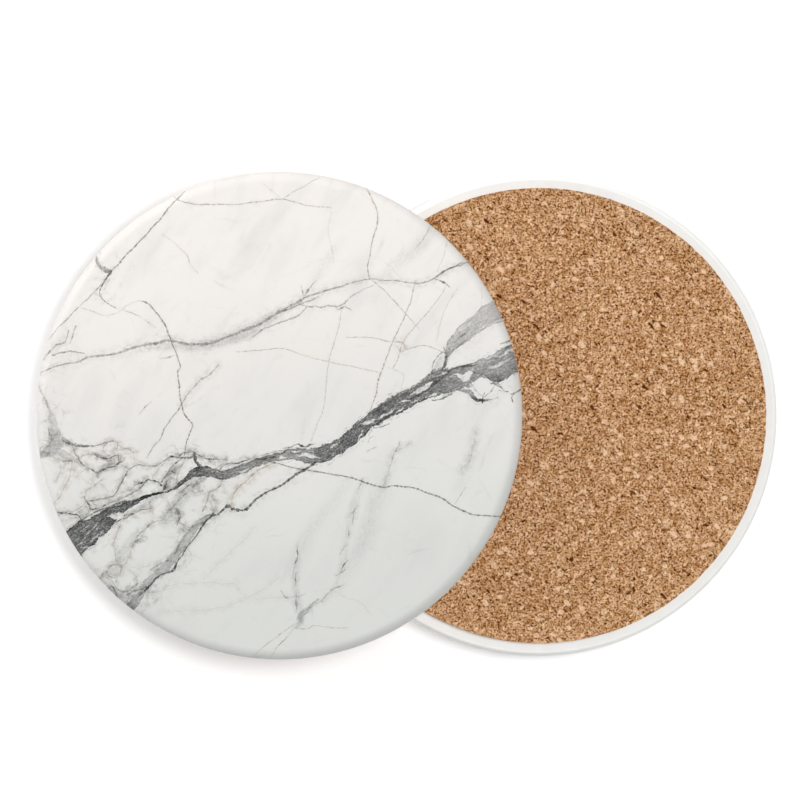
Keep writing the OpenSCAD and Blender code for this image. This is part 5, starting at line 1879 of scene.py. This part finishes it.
# %% [markdown]
# Floor, light and camera
#
# The coasters lie on a white table under soft light. The world gives an even level from all
# round. One lamp overhead casts the soft shadow on the table and on the cork. A large one low
# on the left casts none, and only brightens the rims that face it. Together they light a level
# face so that its colour shows about as it is written. The floor adds light of its own, but
# only where it is seen, so that it lights nothing: a little near the coasters, which brings
# it up to white and leaves the shadows in it, and more far out, where the lamps no longer
# reach.

# %% Set up the floor and the light
WORLD_LEVEL = 0.37
FLOOR_WHITE = 0.9
FLOOR_LIFT = 0.135
FAR_LIFT = 0.75
NEAR_FLOOR = 0.16
FAR_FLOOR = 0.75
FLOOR_DROP = 0.0001


def seen_rays(tree):
    """1 for rays that come from the camera, from a reflection or through glass."""
    path = tree.nodes.new("ShaderNodeLightPath")
    seen = Wire(path.outputs["Is Camera Ray"]) + Wire(path.outputs["Is Glossy Ray"])
    return (seen + Wire(path.outputs["Is Transmission Ray"])).clamped()


def make_floor():
    bpy.ops.mesh.primitive_circle_add(vertices=96, radius=4, fill_type="NGON",
                                      location=(0, 0, -FLOOR_DROP))
    floor = bpy.context.object
    floor.name = "floor"
    material = bpy.data.materials.new("floor")
    material.use_nodes = True
    tree = material.node_tree
    shader = tree.nodes["Principled BSDF"]
    shader.inputs["Base Color"].default_value = (FLOOR_WHITE,) * 3 + (1,)
    shader.inputs["Roughness"].default_value = 1
    shader.inputs["Specular IOR Level"].default_value = 0
    shader.inputs["Emission Color"].default_value = (1, 1, 1, 1)
    x, y, unused = Wire(tree.nodes.new("ShaderNodeTexCoord").outputs["Object"]).parts()
    away = (x * x + y * y).power(0.5)
    lift = ramp(away, NEAR_FLOOR, FAR_FLOOR, FLOOR_LIFT, FAR_LIFT)
    feed(shader.inputs["Emission Strength"], seen_rays(tree) * lift)
    floor.data.materials.append(material)


def light_world():
    world = bpy.data.worlds.new("studio")
    bpy.context.scene.world = world
    world.use_nodes = True
    tree = world.node_tree
    sky = tree.nodes["Background"]
    feed(sky.inputs["Strength"], seen_rays(tree) * (1 - WORLD_LEVEL) + WORLD_LEVEL)
    sky.inputs["Color"].default_value = (1, 1, 1, 1)


def add_lamp(name, place, size, watts, shadow):
    data = bpy.data.lights.new(name, "AREA")
    data.shape = "DISK"
    data.size = size
    data.energy = watts
    data.use_shadow = shadow
    lamp = add_object(name, data)
    lamp.location = place
    lamp.rotation_euler = (-Vector(place)).to_track_quat("-Z", "Y").to_euler()


make_floor()
light_world()
add_lamp("overhead", place=(0.33, 0.145, 1.3), size=0.5, watts=8.1, shadow=True)
add_lamp("rim", place=(-1.1, 0.6, 0.6), size=1.3, watts=12.2, shadow=False)
print("lamps:", [light.name for light in bpy.data.lights])

# %% Set up the camera
CAMERA_HEIGHT = 1.2
CAMERA_X = -0.1107
CAMERA_Y = 0.0033
CAMERA_LEAN = -5.2
CAMERA_LENS = 255.6
camera_data = bpy.data.cameras.new("camera")
camera_data.lens = CAMERA_LENS
camera_data.clip_start = 0.01
camera_data.clip_end = 20
camera = add_object("camera", camera_data)
camera.location = (CAMERA_X, CAMERA_Y, CAMERA_HEIGHT)
camera.rotation_euler = (0, math.radians(CAMERA_LEAN), 0)
bpy.context.scene.camera = camera
bpy.context.scene.view_settings.view_transform = "Standard"
print("camera at", (CAMERA_X, CAMERA_Y, CAMERA_HEIGHT), "with a lens of", CAMERA_LENS, "mm")
